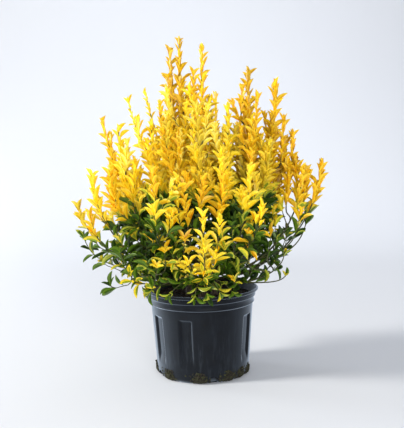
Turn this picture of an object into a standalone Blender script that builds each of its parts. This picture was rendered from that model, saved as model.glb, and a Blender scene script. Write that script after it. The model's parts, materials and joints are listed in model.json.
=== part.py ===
"""A golden-leaved Japanese spindle, a bushy shrub of upright shoots, in a black nursery pot.

The frame is metres with +Z up. The origin is the middle of the pot's flat underside,
the photo's view looks along +Y, and +X is its right-hand side. Driving sizes are in mm.
"""

import math
import random

import bmesh
import bpy
from mathutils import Matrix, Vector
from mathutils.bvhtree import BVHTree

MM = 0.001
GAP = 0.3
SEED = 11

# The pot: a 240 mm nursery container of thin moulded plastic.
POT_HEIGHT = 182.0
RIM_RADIUS = 120.0
RIM_ROUND = 2.6
COLLAR_RADIUS = 114.5
NECK_RADIUS = 110.5
BEAD_RADIUS = 111.4
BEAD_HEIGHT = 153.5
SHOULDER_RADIUS = 108.5
FOOT_RADIUS = 97.5
FOOT_ROUND = 9.0
POT_WALL = 2.2
POT_STEPS = 40

# Nine places round the wall, of which eight are sunk panels and one is left plain.
PANEL_PLACES = 9
PLAIN_PLACE = 1
FIRST_PANEL_DEG = -19.0
PANEL_WIDTH = 31.0
PANEL_LOW = 31.0
PANEL_HIGH = 133.0
PANEL_DEPTH = 4.0

# Drain notches through the bottom edge, five and a gap, three times round.
NOTCH_PLACES = 18
NOTCHES_IN_A_RUN = 5
FIRST_NOTCH_DEG = -8.0
NOTCH_RADIUS = 9.0
NOTCH_SIDES = 8
NOTCH_HEIGHT = 2.5

# The growing medium that fills the pot.
SOIL_TOP = 164.0

# Four short stems from one root, each forking into boughs over its upper part.
STEM_TOP = 252.0
STEM_RING = 27.0
STEM_LEAN = 14.0
STEM_FLARE_RADIUS = 9.0
STEM_RADIUS = 6.4
STEM_TIP_RADIUS = 4.8
FORK_LOW = 189.0
FORK_HIGH = 243.0
STEM_DEGREES = {"left": -90.0, "front": 0.0, "right": 90.0, "rear": 180.0}

# Tips of the leading shoots that the photo shows: stem, across, depth and height.
# Depth is less than nothing towards the viewer.
LEADERS = {
    "tall_left": ("front", -36, -20, 690),
    "tall_behind": ("rear", -57, 34, 678),
    "tall_middle": ("front", 4, -38, 674),
    "high_right_behind": ("right", 107, 60, 638),
    "high_right": ("right", 160, 8, 600),
    "mid_right": ("right", 120, -30, 574),
    "middle_behind": ("rear", 39, 60, 580),
    "middle_front": ("front", 60, -62, 550),
    "high_left_behind": ("rear", -112, 62, 598),
    "far_left_behind": ("left", -158, 46, 588),
    "far_left": ("left", -202, -4, 543),
    "left_front": ("left", -150, -62, 512),
    "outer_left": ("left", -220, -42, 436),
    "arching_left": ("left", -258, 4, 352),
    "outer_right": ("right", 255, -6, 432),
    "outer_right_front": ("right", 208, -62, 420),
    "front_low": ("front", 2, -106, 286),
}

# Rings of lower shoots, worked out by rule: first azimuth, step, count, reach, height.
# Azimuth runs from the viewer's side, 0, towards the right, 90.
RINGS = {
    "brow": (-38.0, 40.0, 3, 146.0, 425.0),
    "skirt": (62.0, 79.0, 4, 188.0, 258.0),
    "back": (128.0, 52.0, 3, 186.0, 430.0),
}
RING_DROP = {"brow": 82.0, "skirt": -14.0, "back": -70.0}

# Boughs and shoots.
BOUGH_RADIUS = 2.9
BOUGH_TIP_RADIUS = 2.3
BOUGH_SHARE = 0.27
BOUGH_BENDS = (0.16, 0.5, 1.0)
SHOOT_RADIUS = 2.3
SHOOT_TIP_RADIUS = 1.6
SIDE_SHOOTS = 1
PATH_POINTS = 40
TWIG_STEP = 58.0
TWIG_SIDES = 4
LINE_MARKS = 14
SOCKET = 6.0
LEAST_SWING = 38.0
LIFT_SHARE = 0.03
TIP_SPREAD = 0.04
TIP_UPRIGHT = 0.5

# Each leader has a side shoot, set in the emptiest direction round it.
SIDE_DIRECTIONS = 12
SIDE_FORK = 0.08
SIDE_TOP = 0.62
SIDE_REACH = 46.0
CROWN_REACH = 258.0
GOLDEN_DEG = 137.5

# Leaves in opposite pairs, larger than life because there are fewer of them.
PAIR_STEP_LOW = 51.0
PAIR_STEP_HIGH = 41.0
PAIR_JITTER_DEG = 5.0
LEAF_LONG = 52.0
LEAF_SHORT = 32.0
LEAF_WIDTH_SHARE = 0.32
LEAF_THICKNESS = 2.0
LEAF_SINK = 1.0
LEAF_OPEN_DEG = 52.0
LEAF_CLOSE_DEG = 27.0
LEAF_WIDEST = 0.44
CLEARANCE = 0.8
SPACE_EASE = 1.15


def polar(radius, degrees, height=0.0):
    """Point at a distance and azimuth from the pot's axis; azimuth 0 faces the viewer."""
    turn = math.radians(degrees)
    return Vector((radius * math.sin(turn), -radius * math.cos(turn), height))


def make_collection(name):
    """Make a collection in the scene."""
    collection = bpy.data.collections.new(name)
    bpy.context.scene.collection.children.link(collection)
    return collection


def paint(thing, colour, roughness):
    """Give an object its own plain plastic-like material."""
    material = bpy.data.materials.new(thing.name)
    material.use_nodes = True
    shader = material.node_tree.nodes["Principled BSDF"]
    shader.inputs["Base Color"].default_value = (*colour, 1.0)
    shader.inputs["Roughness"].default_value = roughness
    shader.inputs["Metallic"].default_value = 0.0
    thing.data.materials.clear()
    thing.data.materials.append(material)


def add_mesh_object(name, mesh, collection, parent=None):
    """Put a mesh in the scene as an object."""
    thing = bpy.data.objects.new(name, mesh)
    collection.objects.link(thing)
    thing.parent = parent
    return thing


def mesh_from_bmesh(name, shape):
    """Turn a finished bmesh into a mesh and free it."""
    mesh = bpy.data.meshes.new(name)
    shape.to_mesh(mesh)
    shape.free()
    return mesh


def turned(name, outline, steps, collection, parent):
    """Turn an outline of (radius, height) in mm, from inside over the top and down."""
    shape = bmesh.new()
    points = [shape.verts.new((radius * MM, 0.0, height * MM)) for radius, height in outline]
    for lower, upper in zip(points, points[1:]):
        shape.edges.new((lower, upper))
    thing = add_mesh_object(name, mesh_from_bmesh(name, shape), collection, parent)
    screw = thing.modifiers.new("turn", "SCREW")
    screw.steps = steps
    screw.render_steps = steps
    screw.use_merge_vertices = True
    screw.merge_threshold = 0.00001
    screw.use_smooth_shade = True
    return thing


def wall_radius(height):
    """Radius of the pot's tapering wall at a height."""
    share = (height - FOOT_ROUND) / (BEAD_HEIGHT - FOOT_ROUND)
    return FOOT_RADIUS + (SHOULDER_RADIUS - FOOT_RADIUS) * share


def arc(centre_radius, centre_height, radius, start_deg, end_deg, count):
    """Points of a round stretch in a turned outline."""
    points = []
    for step in range(count + 1):
        turn = math.radians(start_deg + (end_deg - start_deg) * step / count)
        points.append((centre_radius + radius * math.cos(turn),
                       centre_height + radius * math.sin(turn)))
    return points


def pot_outline():
    """Outline of the pot's shell: floor, inner wall, rolled rim, collars, wall, foot."""
    inside = [
        (0.0, POT_WALL),
        (FOOT_RADIUS - POT_WALL - 2.0, POT_WALL),
        (wall_radius(FOOT_ROUND) - POT_WALL, FOOT_ROUND),
        (SHOULDER_RADIUS - POT_WALL, BEAD_HEIGHT),
        (NECK_RADIUS - POT_WALL, POT_HEIGHT - 16.0),
        (COLLAR_RADIUS - POT_WALL, POT_HEIGHT - 7.0),
    ]
    rim = arc(RIM_RADIUS - RIM_ROUND, POT_HEIGHT - RIM_ROUND, RIM_ROUND, 140.0, -70.0, 4)
    outside = [
        (COLLAR_RADIUS, POT_HEIGHT - 6.0),
        (COLLAR_RADIUS - 0.8, POT_HEIGHT - 16.5),
        (NECK_RADIUS, POT_HEIGHT - 18.0),
        (NECK_RADIUS - 0.4, BEAD_HEIGHT + 2.0),
        (BEAD_RADIUS, BEAD_HEIGHT + 1.2),
        (BEAD_RADIUS, BEAD_HEIGHT - 0.4),
        (SHOULDER_RADIUS, BEAD_HEIGHT - 1.6),
        (wall_radius(FOOT_ROUND), FOOT_ROUND),
    ]
    foot = arc(FOOT_RADIUS - FOOT_ROUND, FOOT_ROUND, FOOT_ROUND, -28.0, -90.0, 2)
    return inside + rim + outside + foot + [(0.0, 0.0)]


def panel_block(name, depth_out, depth_in, margin, degrees, collection):
    """Upright block that follows the wall's slope, a margin larger than a panel all round."""
    shape = bmesh.new()
    bmesh.ops.create_cube(shape, size=1.0)
    middle = (PANEL_LOW + PANEL_HIGH) / 2.0
    size = Vector((PANEL_WIDTH, depth_in + depth_out, PANEL_HIGH - PANEL_LOW))
    size += Vector((2.0 * margin, 0.0, 2.0 * margin))
    bmesh.ops.scale(shape, vec=size * MM, verts=shape.verts)
    block = add_mesh_object(name, mesh_from_bmesh(name, shape), collection)
    slope = math.atan2(SHOULDER_RADIUS - FOOT_RADIUS, BEAD_HEIGHT - FOOT_ROUND)
    away = wall_radius(middle) + (depth_out - depth_in) / 2.0
    block.location = polar(away * MM, degrees, middle * MM)
    block.rotation_euler = (slope, 0.0, math.radians(degrees))
    block.hide_render = True
    block.display_type = "WIRE"
    return block


def notch_cutter(name, degrees, collection):
    """Round bar through the pot's bottom edge."""
    shape = bmesh.new()
    bmesh.ops.create_cone(shape, cap_ends=True, segments=NOTCH_SIDES, radius1=NOTCH_RADIUS * MM,
                          radius2=NOTCH_RADIUS * MM, depth=26.0 * MM)
    cutter = add_mesh_object(name, mesh_from_bmesh(name, shape), collection)
    cutter.location = polar((FOOT_RADIUS + 2.0) * MM, degrees, NOTCH_HEIGHT * MM)
    cutter.rotation_euler = (math.radians(90.0), 0.0, math.radians(degrees))
    cutter.hide_render = True
    cutter.display_type = "WIRE"
    return cutter


def join_or_cut(thing, name, operation, collection):
    """Add a Boolean with everything in a collection."""
    boolean = thing.modifiers.new(name, "BOOLEAN")
    boolean.operation = operation
    boolean.operand_type = "COLLECTION"
    boolean.collection = collection
    boolean.solver = "EXACT"
    return boolean


def make_pot(collection, parent):
    """The pot: turned shell, sunk panels with their inner ribs, and drain notches."""
    ribs = make_collection("pot_ribs")
    cutters = make_collection("pot_cutters")
    for place in range(PANEL_PLACES):
        if place == PLAIN_PLACE:
            continue
        degrees = FIRST_PANEL_DEG + 360.0 / PANEL_PLACES * place
        panel_block(f"rib_{place}", -0.7, PANEL_DEPTH + POT_WALL, POT_WALL, degrees, ribs)
        panel_block(f"panel_{place}", 8.0, PANEL_DEPTH, 0.0, degrees, cutters)
    for place in range(NOTCH_PLACES):
        if place % (NOTCHES_IN_A_RUN + 1) == NOTCHES_IN_A_RUN:
            continue
        degrees = FIRST_NOTCH_DEG + 360.0 / NOTCH_PLACES * place
        notch_cutter(f"notch_{place}", degrees, cutters)
    pot = turned("pot", pot_outline(), POT_STEPS, collection, parent)
    join_or_cut(pot, "inner_ribs", "UNION", ribs)
    join_or_cut(pot, "panels_and_notches", "DIFFERENCE", cutters)
    paint(pot, (0.035, 0.038, 0.045), 0.55)
    return pot


def make_soil(collection, parent):
    """The growing medium: a turned plug that stays clear of the wall and its ribs."""
    low = POT_WALL + GAP
    ledge = PANEL_HIGH + 6.0
    behind_ribs = POT_WALL + PANEL_DEPTH + POT_WALL + 3.0
    beside_wall = POT_WALL + GAP + 0.5
    outline = [
        (0.0, SOIL_TOP),
        (wall_radius(SOIL_TOP) - beside_wall - 2.0, SOIL_TOP),
        (wall_radius(ledge) - beside_wall, ledge),
        (wall_radius(ledge) - behind_ribs, ledge - 6.0),
        (wall_radius(FOOT_ROUND) - behind_ribs, FOOT_ROUND + 3.0),
        (wall_radius(FOOT_ROUND) - behind_ribs - 5.0, low),
        (0.0, low),
    ]
    soil = turned("growing_medium", outline, 24, collection, parent)
    paint(soil, (0.012, 0.009, 0.007), 0.95)
    return soil


def bezier(start, leave, arrive, end, count):
    """Points along a smooth limb between two ends with two guiding points."""
    points = []
    for step in range(count + 1):
        t = step / count
        s = 1.0 - t
        points.append(start * s ** 3 + leave * 3.0 * s * s * t
                      + arrive * 3.0 * s * t * t + end * t ** 3)
    return points


class Path:
    """A limb's middle line, read by distance along it, with a frame that never twists."""

    def __init__(self, points):
        self.points = points
        self.marks = [0.0]
        self.headings = [(points[1] - points[0]).normalized()]
        self.sides = [self.headings[0].orthogonal().normalized()]
        for first, second in zip(points, points[1:]):
            heading = (second - first).normalized()
            bend = self.headings[-1].rotation_difference(heading)
            self.marks.append(self.marks[-1] + (second - first).length)
            self.headings.append(heading)
            self.sides.append((bend @ self.sides[-1]).normalized())
        self.length = self.marks[-1]

    def at(self, distance):
        """Point, direction and sideways direction at a distance from the foot."""
        index = 1
        while index < len(self.points) - 1 and self.marks[index] < distance:
            index += 1
        span = self.marks[index] - self.marks[index - 1]
        share = (distance - self.marks[index - 1]) / span
        point = self.points[index - 1].lerp(self.points[index], share)
        heading = self.headings[index - 1].lerp(self.headings[index], share).normalized()
        side = self.sides[index - 1].lerp(self.sides[index], share)
        side = (side - heading * side.dot(heading)).normalized()
        return point, heading, side

    def frame(self, distance):
        """Matrix in metres that stands a ring across the limb at a distance."""
        point, heading, side = self.at(distance)
        axes = Matrix((side, heading.cross(side), heading)).transposed().to_4x4()
        return Matrix.Translation(point * MM) @ axes


def stem_place(stem, height):
    """Point on a main stem's middle line: upright at the ground, leaning out above."""
    share = (height - SOIL_TOP) / (STEM_TOP - SOIL_TOP)
    return polar(STEM_RING + STEM_LEAN * share ** 2, STEM_DEGREES[stem], height)


def stem_radius(height):
    """Radius of a main stem, flared where it leaves the growing medium."""
    share = (height - SOIL_TOP) / (STEM_TOP - SOIL_TOP)
    plain = STEM_RADIUS + (STEM_TIP_RADIUS - STEM_RADIUS) * share
    return plain + (STEM_FLARE_RADIUS - STEM_RADIUS) * math.exp(-share * 9.0)


def ring_tips():
    """Tips of the lower shoots, in rings round the plant."""
    tips = {}
    for ring, (first, step, count, reach, height) in RINGS.items():
        for k in range(count):
            degrees = first + step * k
            lower = RING_DROP[ring] * (k % 2)
            tip = polar(reach + lower * 0.3, degrees, height - lower)
            sides = {name: abs((degrees - turn + 180.0) % 360.0 - 180.0)
                     for name, turn in STEM_DEGREES.items()}
            tips[f"{ring}_{k + 1}"] = (min(sides, key=sides.get), tip.x, tip.y, tip.z)
    return tips


def shoot_tips():
    """Every leading shoot's stem and tip, lowest forks first on each stem."""
    tips = {**LEADERS, **ring_tips()}

    def steepness(name):
        stem, across, depth, height = tips[name]
        top = stem_place(stem, STEM_TOP)
        return (height - SOIL_TOP) / (math.hypot(across - top.x, depth - top.y) + 10.0)

    ordered = {stem: [] for stem in STEM_DEGREES}
    for name in sorted(tips, key=steepness):
        ordered[tips[name][0]].append((name, Vector(tips[name][1:])))
    return ordered


def limb_path(stem, place, places, tip):
    """Middle line of a bough and its shoot, from the stem's side or top up to the tip."""
    if place == places - 1:
        top = stem_place(stem, STEM_TOP)
        out = (top - stem_place(stem, STEM_TOP - 12.0)).normalized()
        start = top + out * GAP
        leave = start + out * (tip - start).length * 0.3
    else:
        height = FORK_LOW + (FORK_HIGH - FORK_LOW) * place / (places - 2)
        axis = stem_place(stem, height)
        out = Vector((tip.x - axis.x, tip.y - axis.y, 0.0))
        swing = max(LEAST_SWING, out.length * 0.5)
        out.normalize()
        levels = (height - BOUGH_RADIUS, height, height + BOUGH_RADIUS)
        clear = max((stem_place(stem, level) - axis).dot(out) + stem_radius(level)
                    for level in levels)
        start = axis + out * (clear + GAP)
        lift = LIFT_SHARE * (tip.z - height) + 2.0
        leave = start + out * (swing + SOCKET) + Vector((0.0, 0.0, lift))
    rise = tip.z - start.z
    inward = Vector((tip.x - start.x, tip.y - start.y, 0.0)) * TIP_SPREAD
    arrive = tip - inward - Vector((0.0, 0.0, rise * TIP_UPRIGHT))
    return Path([start] + bezier(start + out * SOCKET, leave, arrive, tip, PATH_POINTS))


def side_path(leader, start, tip):
    """Middle line of a side shoot that leaves its leader and turns upright."""
    point, heading, side = leader.at(start)
    out = tip - point
    leave = point + heading * out.length * 0.25 + Vector((out.x, out.y, 0.0)) * 0.45
    arrive = tip - Vector((out.x, out.y, 0.0)) * 0.1 - Vector((0.0, 0.0, out.z * 0.5))
    return Path(bezier(point, leave, arrive, tip, PATH_POINTS // 2))


def tube(shape, path, marks, radii, sides):
    """Tapering solid limb along a path: a capped ring extruded from mark to mark."""
    frames = [path.frame(mark) @ Matrix.Rotation(math.pi / sides, 4, "Z") for mark in marks]
    made = bmesh.ops.create_circle(shape, cap_ends=True, segments=sides, radius=radii[0] * MM,
                                   matrix=frames[0])
    face = made["verts"][0].link_faces[0]
    for index in range(1, len(marks)):
        grown = bmesh.ops.extrude_face_region(shape, geom=[face])["geom"]
        if index > 1:
            bmesh.ops.delete(shape, geom=[face], context="FACES_ONLY")
        face = next(item for item in grown if isinstance(item, bmesh.types.BMFace))
        size = Matrix.Scale(radii[index] / radii[index - 1], 4)
        step = frames[index] @ size @ frames[index - 1].inverted()
        bmesh.ops.transform(shape, matrix=step, verts=face.verts)
    bmesh.ops.recalc_face_normals(shape, faces=shape.faces)


def taper(first, last, count):
    """Evenly falling radii."""
    return [first + (last - first) * k / count for k in range(count + 1)]


def curve_limb(name, points, radii, resolution, collection, parent):
    """A limb as a curve with a round section, its place at its foot."""
    curve = bpy.data.curves.new(name, "CURVE")
    curve.dimensions = "3D"
    curve.bevel_depth = MM
    curve.bevel_resolution = resolution
    curve.use_fill_caps = True
    spline = curve.splines.new("POLY")
    spline.points.add(len(points) - 1)
    for point, place, radius in zip(spline.points, points, radii):
        point.co = (*((place - points[0]) * MM), 1.0)
        point.radius = radius
    limb = bpy.data.objects.new(name, curve)
    collection.objects.link(limb)
    limb.parent = parent
    limb.location = points[0] * MM
    return limb


def make_stem(stem, collection, parent):
    """A main stem: flared foot, level cut at the ground, leaning out to its fork."""
    foot = SOIL_TOP + GAP
    shares = (0.0, 0.05, 0.12, 0.22, 0.4, 0.7, 1.0)
    points = [stem_place(stem, foot + (STEM_TOP - foot) * share) for share in shares]
    radii = [stem_radius(point.z) for point in points]
    limb = curve_limb(f"stem_{stem}", points, radii, 2, collection, parent)
    paint(limb, (0.16, 0.125, 0.075), 0.8)
    return limb


class Mass:
    """One bough with the leafy shoots that grow on from its tip."""

    def __init__(self, name, path, is_top):
        self.name = name
        self.path = path
        self.bough_length = path.length * BOUGH_SHARE
        foot_radius = STEM_TIP_RADIUS - 0.2 if is_top else BOUGH_RADIUS
        marks = [0.0, SOCKET]
        marks += [SOCKET + (self.bough_length - SOCKET) * share for share in BOUGH_BENDS]
        self.bough_marks = marks
        spread = BOUGH_TIP_RADIUS - foot_radius
        self.bough_radii = [foot_radius + spread * mark / self.bough_length for mark in marks]
        self.shoots = [(path, self.bough_length + GAP + 0.1)]


def side_tip(mass, masses, turn):
    """Tip of a side shoot, set in the emptiest direction round its leader."""
    leader, first = mass.shoots[0]
    leafy = leader.length - first
    best = None
    for k in range(SIDE_DIRECTIONS):
        degrees = turn + 360.0 * k / SIDE_DIRECTIONS
        fork = first + leafy * SIDE_FORK
        level = leader.at(first + leafy * SIDE_TOP)[0]
        tip = level + polar(SIDE_REACH, degrees)
        if Vector((tip.x, tip.y)).length > CROWN_REACH:
            continue
        room = min((path.at(path.length * share)[0] - tip).length
                   for other in masses for path, start in other.shoots if path is not leader
                   for share in (0.4, 0.55, 0.7, 0.85, 1.0))
        if best is None or room > best[0]:
            best = (room, fork, tip)
    return best


def grow_plant():
    """Every mass with its leader and side shoots."""
    masses = []
    for stem, tips in shoot_tips().items():
        for place, (name, tip) in enumerate(tips):
            path = limb_path(stem, place, len(tips), tip)
            masses.append(Mass(name, path, place == len(tips) - 1))
    for index, mass in enumerate(masses):
        for side in range(SIDE_SHOOTS):
            found = side_tip(mass, masses, GOLDEN_DEG * (index + side))
            if found:
                fork, tip = found[1:]
                mass.shoots.append((side_path(mass.path, fork, tip), 0.0))
    return masses


def leaf_places(path, start, dice):
    """Places for opposite pairs of leaves along a shoot, each pair across the last."""
    reach = path.length - start
    mark = start + PAIR_STEP_LOW * 0.45
    turn = 90.0 * dice.randrange(2)
    places = []
    while mark < path.length - 4.0:
        share = (mark - start) / reach
        places.append((mark, turn + dice.uniform(-PAIR_JITTER_DEG, PAIR_JITTER_DEG), share))
        turn += 90.0
        mark += PAIR_STEP_LOW + (PAIR_STEP_HIGH - PAIR_STEP_LOW) * share
    places.append((path.length - 1.5, turn, 1.0))
    return places


def leaf_pair(path, mark, turn, share, dice):
    """The two leaves of a pair: root, direction along, direction across, length."""
    point, heading, side = path.at(mark)
    opening = LEAF_OPEN_DEG + (LEAF_CLOSE_DEG - LEAF_OPEN_DEG) * share
    length = LEAF_LONG + (LEAF_SHORT - LEAF_LONG) * share ** 1.3
    pair = []
    for half in (0.0, 180.0):
        round_turn = math.radians(turn + half)
        away = side * math.cos(round_turn) + heading.cross(side) * math.sin(round_turn)
        angle = math.radians(opening + dice.uniform(-6.0, 6.0))
        along = heading * math.cos(angle) + away * math.sin(angle)
        across = heading.cross(away).normalized()
        pair.append((point, along, across, length * dice.uniform(0.9, 1.08)))
    return pair


def leaf_shape(shape, root, along, across, length, swell):
    """A leaf with a flat upper side and a keel below, its root sunk in the twig."""
    made = bmesh.ops.create_uvsphere(shape, u_segments=3, v_segments=2, radius=1.0)["verts"]
    normal = along.cross(across).normalized()
    span = length + LEAF_SINK + swell
    width = length * LEAF_WIDTH_SHARE + swell
    keel = LEAF_THICKNESS + swell
    for vertex in made:
        below, beside, end = vertex.co
        if abs(end) > 0.5:
            vertex.co = (root + along * (span * (end + 1.0) / 2.0 - LEAF_SINK)) * MM
            continue
        place = root + along * (span * LEAF_WIDEST - LEAF_SINK)
        if below > 0.5:
            place -= normal * keel
        else:
            place += across * math.copysign(width / 2.0, beside) + normal * swell
        vertex.co = place * MM
    bmesh.ops.recalc_face_normals(shape, faces=list({f for v in made for f in v.link_faces}))


def solid_tree(shape):
    """Search tree, middle and reach of a small solid, to test what it touches."""
    shape.verts.ensure_lookup_table()
    middle = sum((vertex.co for vertex in shape.verts), Vector()) / len(shape.verts)
    reach = max((vertex.co - middle).length for vertex in shape.verts)
    return BVHTree.FromBMesh(shape), middle, reach


class Space:
    """What already stands in the crown, by node, and which shoot a place belongs to."""

    def __init__(self, masses):
        self.solids = []
        self.lines = []
        for mass in masses:
            for path, start in mass.shoots:
                reach = path.length - start
                marks = [path.at(start + reach * k / LINE_MARKS)[0] for k in range(LINE_MARKS + 1)]
                self.lines.append((mass.name, marks))

    def add(self, owner, found):
        """Keep a solid as something that others must stay clear of."""
        self.solids.append((owner, *found))

    def is_clear(self, owner, found):
        """Whether a solid touches nothing but its own mass."""
        tree, middle, reach = found
        for other, tree_2, middle_2, reach_2 in self.solids:
            if other == owner or (middle - middle_2).length > reach + reach_2:
                continue
            if tree.overlap(tree_2):
                return False
        return True

    def owns(self, owner, place):
        """Whether a place is nearer to a mass's own shoots than to any other's."""
        own = math.inf
        rest = math.inf
        for name, marks in self.lines:
            near = min((mark - place).length_squared for mark in marks)
            if name == owner:
                own = min(own, near)
            else:
                rest = min(rest, near)
        return own < rest * SPACE_EASE


def over_the_pot(place):
    """Whether a place is clear of the pot's rim and what fills it."""
    if place.z < SOIL_TOP + 4.0:
        return False
    return place.z > POT_HEIGHT + 3.0 or math.hypot(place.x, place.y) > RIM_RADIUS + 4.0


def grow_leaves(mass, space, dice):
    """Leaves of a mass that keep to its own space and touch nothing else."""
    leaves = []
    for path, start in mass.shoots:
        for mark, turn, share in leaf_places(path, start + 8.0, dice):
            for root, along, across, length in leaf_pair(path, mark, turn, share, dice):
                for cut in (1.0, 0.85, 0.7):
                    tip = root + along * length * cut
                    if not over_the_pot(tip) or not space.owns(mass.name, tip):
                        continue
                    test = bmesh.new()
                    leaf_shape(test, root, along, across, length * cut, CLEARANCE)
                    found = solid_tree(test)
                    test.free()
                    if space.is_clear(mass.name, found):
                        space.add(mass.name, found)
                        leaves.append((root, along, across, length * cut))
                        break
    return leaves


def twig_shape(path, start):
    """A shoot's four-angled twig, from where it starts to its tip."""
    count = max(3, round((path.length - start) / TWIG_STEP))
    marks = [start + (path.length - start) * k / count for k in range(count + 1)]
    shape = bmesh.new()
    tube(shape, path, marks, taper(SHOOT_RADIUS, SHOOT_TIP_RADIUS, count), TWIG_SIDES)
    return shape


def keep_one_body(mesh):
    """Drop loose scraps and sealed hollows that joining left in a mesh."""
    shape = bmesh.new()
    shape.from_mesh(mesh)
    left = set(shape.verts)
    bodies = []
    while left:
        seen = {left.pop()}
        edge = list(seen)
        while edge:
            vertex = edge.pop()
            for link in vertex.link_edges:
                other = link.other_vert(vertex)
                if other not in seen:
                    seen.add(other)
                    edge.append(other)
        left -= seen
        bodies.append(seen)
    bodies.sort(key=len)
    extra = [vertex for body in bodies[:-1] for vertex in body]
    bmesh.ops.delete(shape, geom=extra, context="VERTS")
    shape.to_mesh(mesh)
    shape.free()


def foliage_colour(mass):
    """Gold on the high shoots, greener on the low ones."""
    height = mass.path.points[-1].z
    share = min(max((height - 240.0) / 220.0, 0.0), 1.0)
    green, gold = Vector((0.16, 0.27, 0.03)), Vector((0.85, 0.52, 0.02))
    return tuple(green.lerp(gold, share))


def make_mass(mass, space, dice, collection, parent):
    """A leafy mass: its leader, side shoots and leaves joined into one solid."""
    pieces = make_collection(f"{mass.name}_pieces")
    leader = None
    for index, (path, start) in enumerate(mass.shoots):
        mesh = mesh_from_bmesh(f"twig_{index}", twig_shape(path, start))
        where = collection if leader is None else pieces
        twig = add_mesh_object(mass.name if leader is None else mesh.name, mesh, where)
        leader = leader or twig
    for root, along, across, length in grow_leaves(mass, space, dice):
        shape = bmesh.new()
        leaf_shape(shape, root, along, across, length, 0.0)
        add_mesh_object("leaf", mesh_from_bmesh("leaf", shape), pieces)
    join_or_cut(leader, "join", "UNION", pieces)
    bpy.context.view_layer.update()
    graph = bpy.context.evaluated_depsgraph_get()
    joined = bpy.data.meshes.new_from_object(leader.evaluated_get(graph))
    leader.modifiers.clear()
    leader.data = joined
    for piece in list(pieces.objects):
        bpy.data.objects.remove(piece)
    bpy.data.collections.remove(pieces)
    keep_one_body(joined)
    leader.parent = parent
    paint(leader, foliage_colour(mass), 0.5)
    return leader


def main():
    """Build the pot, the growing medium, the limbs and the leafy masses."""
    for thing in list(bpy.data.objects):
        bpy.data.objects.remove(thing)
    collection = make_collection("potted_japanese_spindle")
    base = bpy.data.objects.new("pot_underside", None)
    collection.objects.link(base)
    make_pot(collection, base)
    make_soil(collection, base)
    for stem in STEM_DEGREES:
        make_stem(stem, collection, base)
    masses = grow_plant()
    space = Space(masses)
    for mass in masses:
        points = [mass.path.at(mark)[0] for mark in mass.bough_marks]
        limb = curve_limb(f"bough_{mass.name}", points, mass.bough_radii, 1, collection, base)
        paint(limb, (0.19, 0.17, 0.07), 0.75)
        solid = bmesh.new()
        wide = [radius + CLEARANCE for radius in mass.bough_radii]
        tube(solid, mass.path, mass.bough_marks, wide, 6)
        space.add(limb.name, solid_tree(solid))
        solid.free()
        for path, start in mass.shoots:
            solid = twig_shape(path, start)
            space.add(mass.name, solid_tree(solid))
            solid.free()
    for index, mass in enumerate(masses):
        make_mass(mass, space, random.Random(SEED + index), collection, base)


main()
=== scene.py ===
"""Looks of a golden-leaved Japanese spindle in a black nursery pot.

Every finished piece sits at the origin in metres. Sizes below are in millimetres unless
their names say otherwise, and azimuth 0 faces the viewer, with 90 to the right.
"""

import json
import logging
import math
import random
from dataclasses import dataclass, field
from enum import Enum

import bmesh
import bpy
import numpy as np
from mathutils import Matrix, Vector, noise

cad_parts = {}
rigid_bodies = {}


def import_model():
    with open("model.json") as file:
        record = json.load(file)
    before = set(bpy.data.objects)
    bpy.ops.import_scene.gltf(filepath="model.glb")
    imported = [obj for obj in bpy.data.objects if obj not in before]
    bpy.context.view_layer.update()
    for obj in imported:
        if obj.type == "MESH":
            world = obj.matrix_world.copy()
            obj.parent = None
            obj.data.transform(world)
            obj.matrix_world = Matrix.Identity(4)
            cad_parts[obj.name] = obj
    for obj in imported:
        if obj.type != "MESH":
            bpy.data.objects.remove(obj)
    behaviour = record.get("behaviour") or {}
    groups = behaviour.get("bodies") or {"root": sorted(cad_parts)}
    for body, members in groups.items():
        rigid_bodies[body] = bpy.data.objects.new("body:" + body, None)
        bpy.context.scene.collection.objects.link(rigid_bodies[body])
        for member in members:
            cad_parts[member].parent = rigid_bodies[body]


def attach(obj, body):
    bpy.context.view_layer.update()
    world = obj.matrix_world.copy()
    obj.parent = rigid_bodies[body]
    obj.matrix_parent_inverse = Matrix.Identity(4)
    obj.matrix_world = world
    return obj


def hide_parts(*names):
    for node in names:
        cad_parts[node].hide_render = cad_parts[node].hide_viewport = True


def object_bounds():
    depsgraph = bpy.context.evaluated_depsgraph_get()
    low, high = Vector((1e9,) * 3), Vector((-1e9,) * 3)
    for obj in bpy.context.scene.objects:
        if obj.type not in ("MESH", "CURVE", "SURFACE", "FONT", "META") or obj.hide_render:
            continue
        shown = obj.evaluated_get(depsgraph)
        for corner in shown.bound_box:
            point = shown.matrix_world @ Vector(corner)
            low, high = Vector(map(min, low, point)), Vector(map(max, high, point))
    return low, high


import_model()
CAD_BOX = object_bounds()

LOG = logging.getLogger("spindle")
MM = 0.001
BODY = "root"
SEED = 5


def linear(code: str) -> tuple[float, float, float, float]:
    """Turn an sRGB hex colour into linear values.

    Args:
        code: Six hex digits, with or without a leading #.

    Returns:
        Red, green, blue and an alpha of 1.
    """
    digits = code.lstrip("#")
    values = [int(digits[k:k + 2], 16) / 255.0 for k in (0, 2, 4)]
    low = [v / 12.92 if v <= 0.04045 else ((v + 0.055) / 1.055) ** 2.4 for v in values]
    return (low[0], low[1], low[2], 1.0)


def polar(radius: float, degrees: float, height: float = 0.0) -> Vector:
    """Point at a distance and azimuth from the pot's axis."""
    turn = math.radians(degrees)
    return Vector((radius * math.sin(turn), -radius * math.cos(turn), height))


def smooth_step(low: float, high: float, value: float) -> float:
    """Share from 0 to 1 that eases in and out between two values."""
    share = min(max((value - low) / (high - low), 0.0), 1.0)
    return share * share * (3.0 - 2.0 * share)


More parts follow.
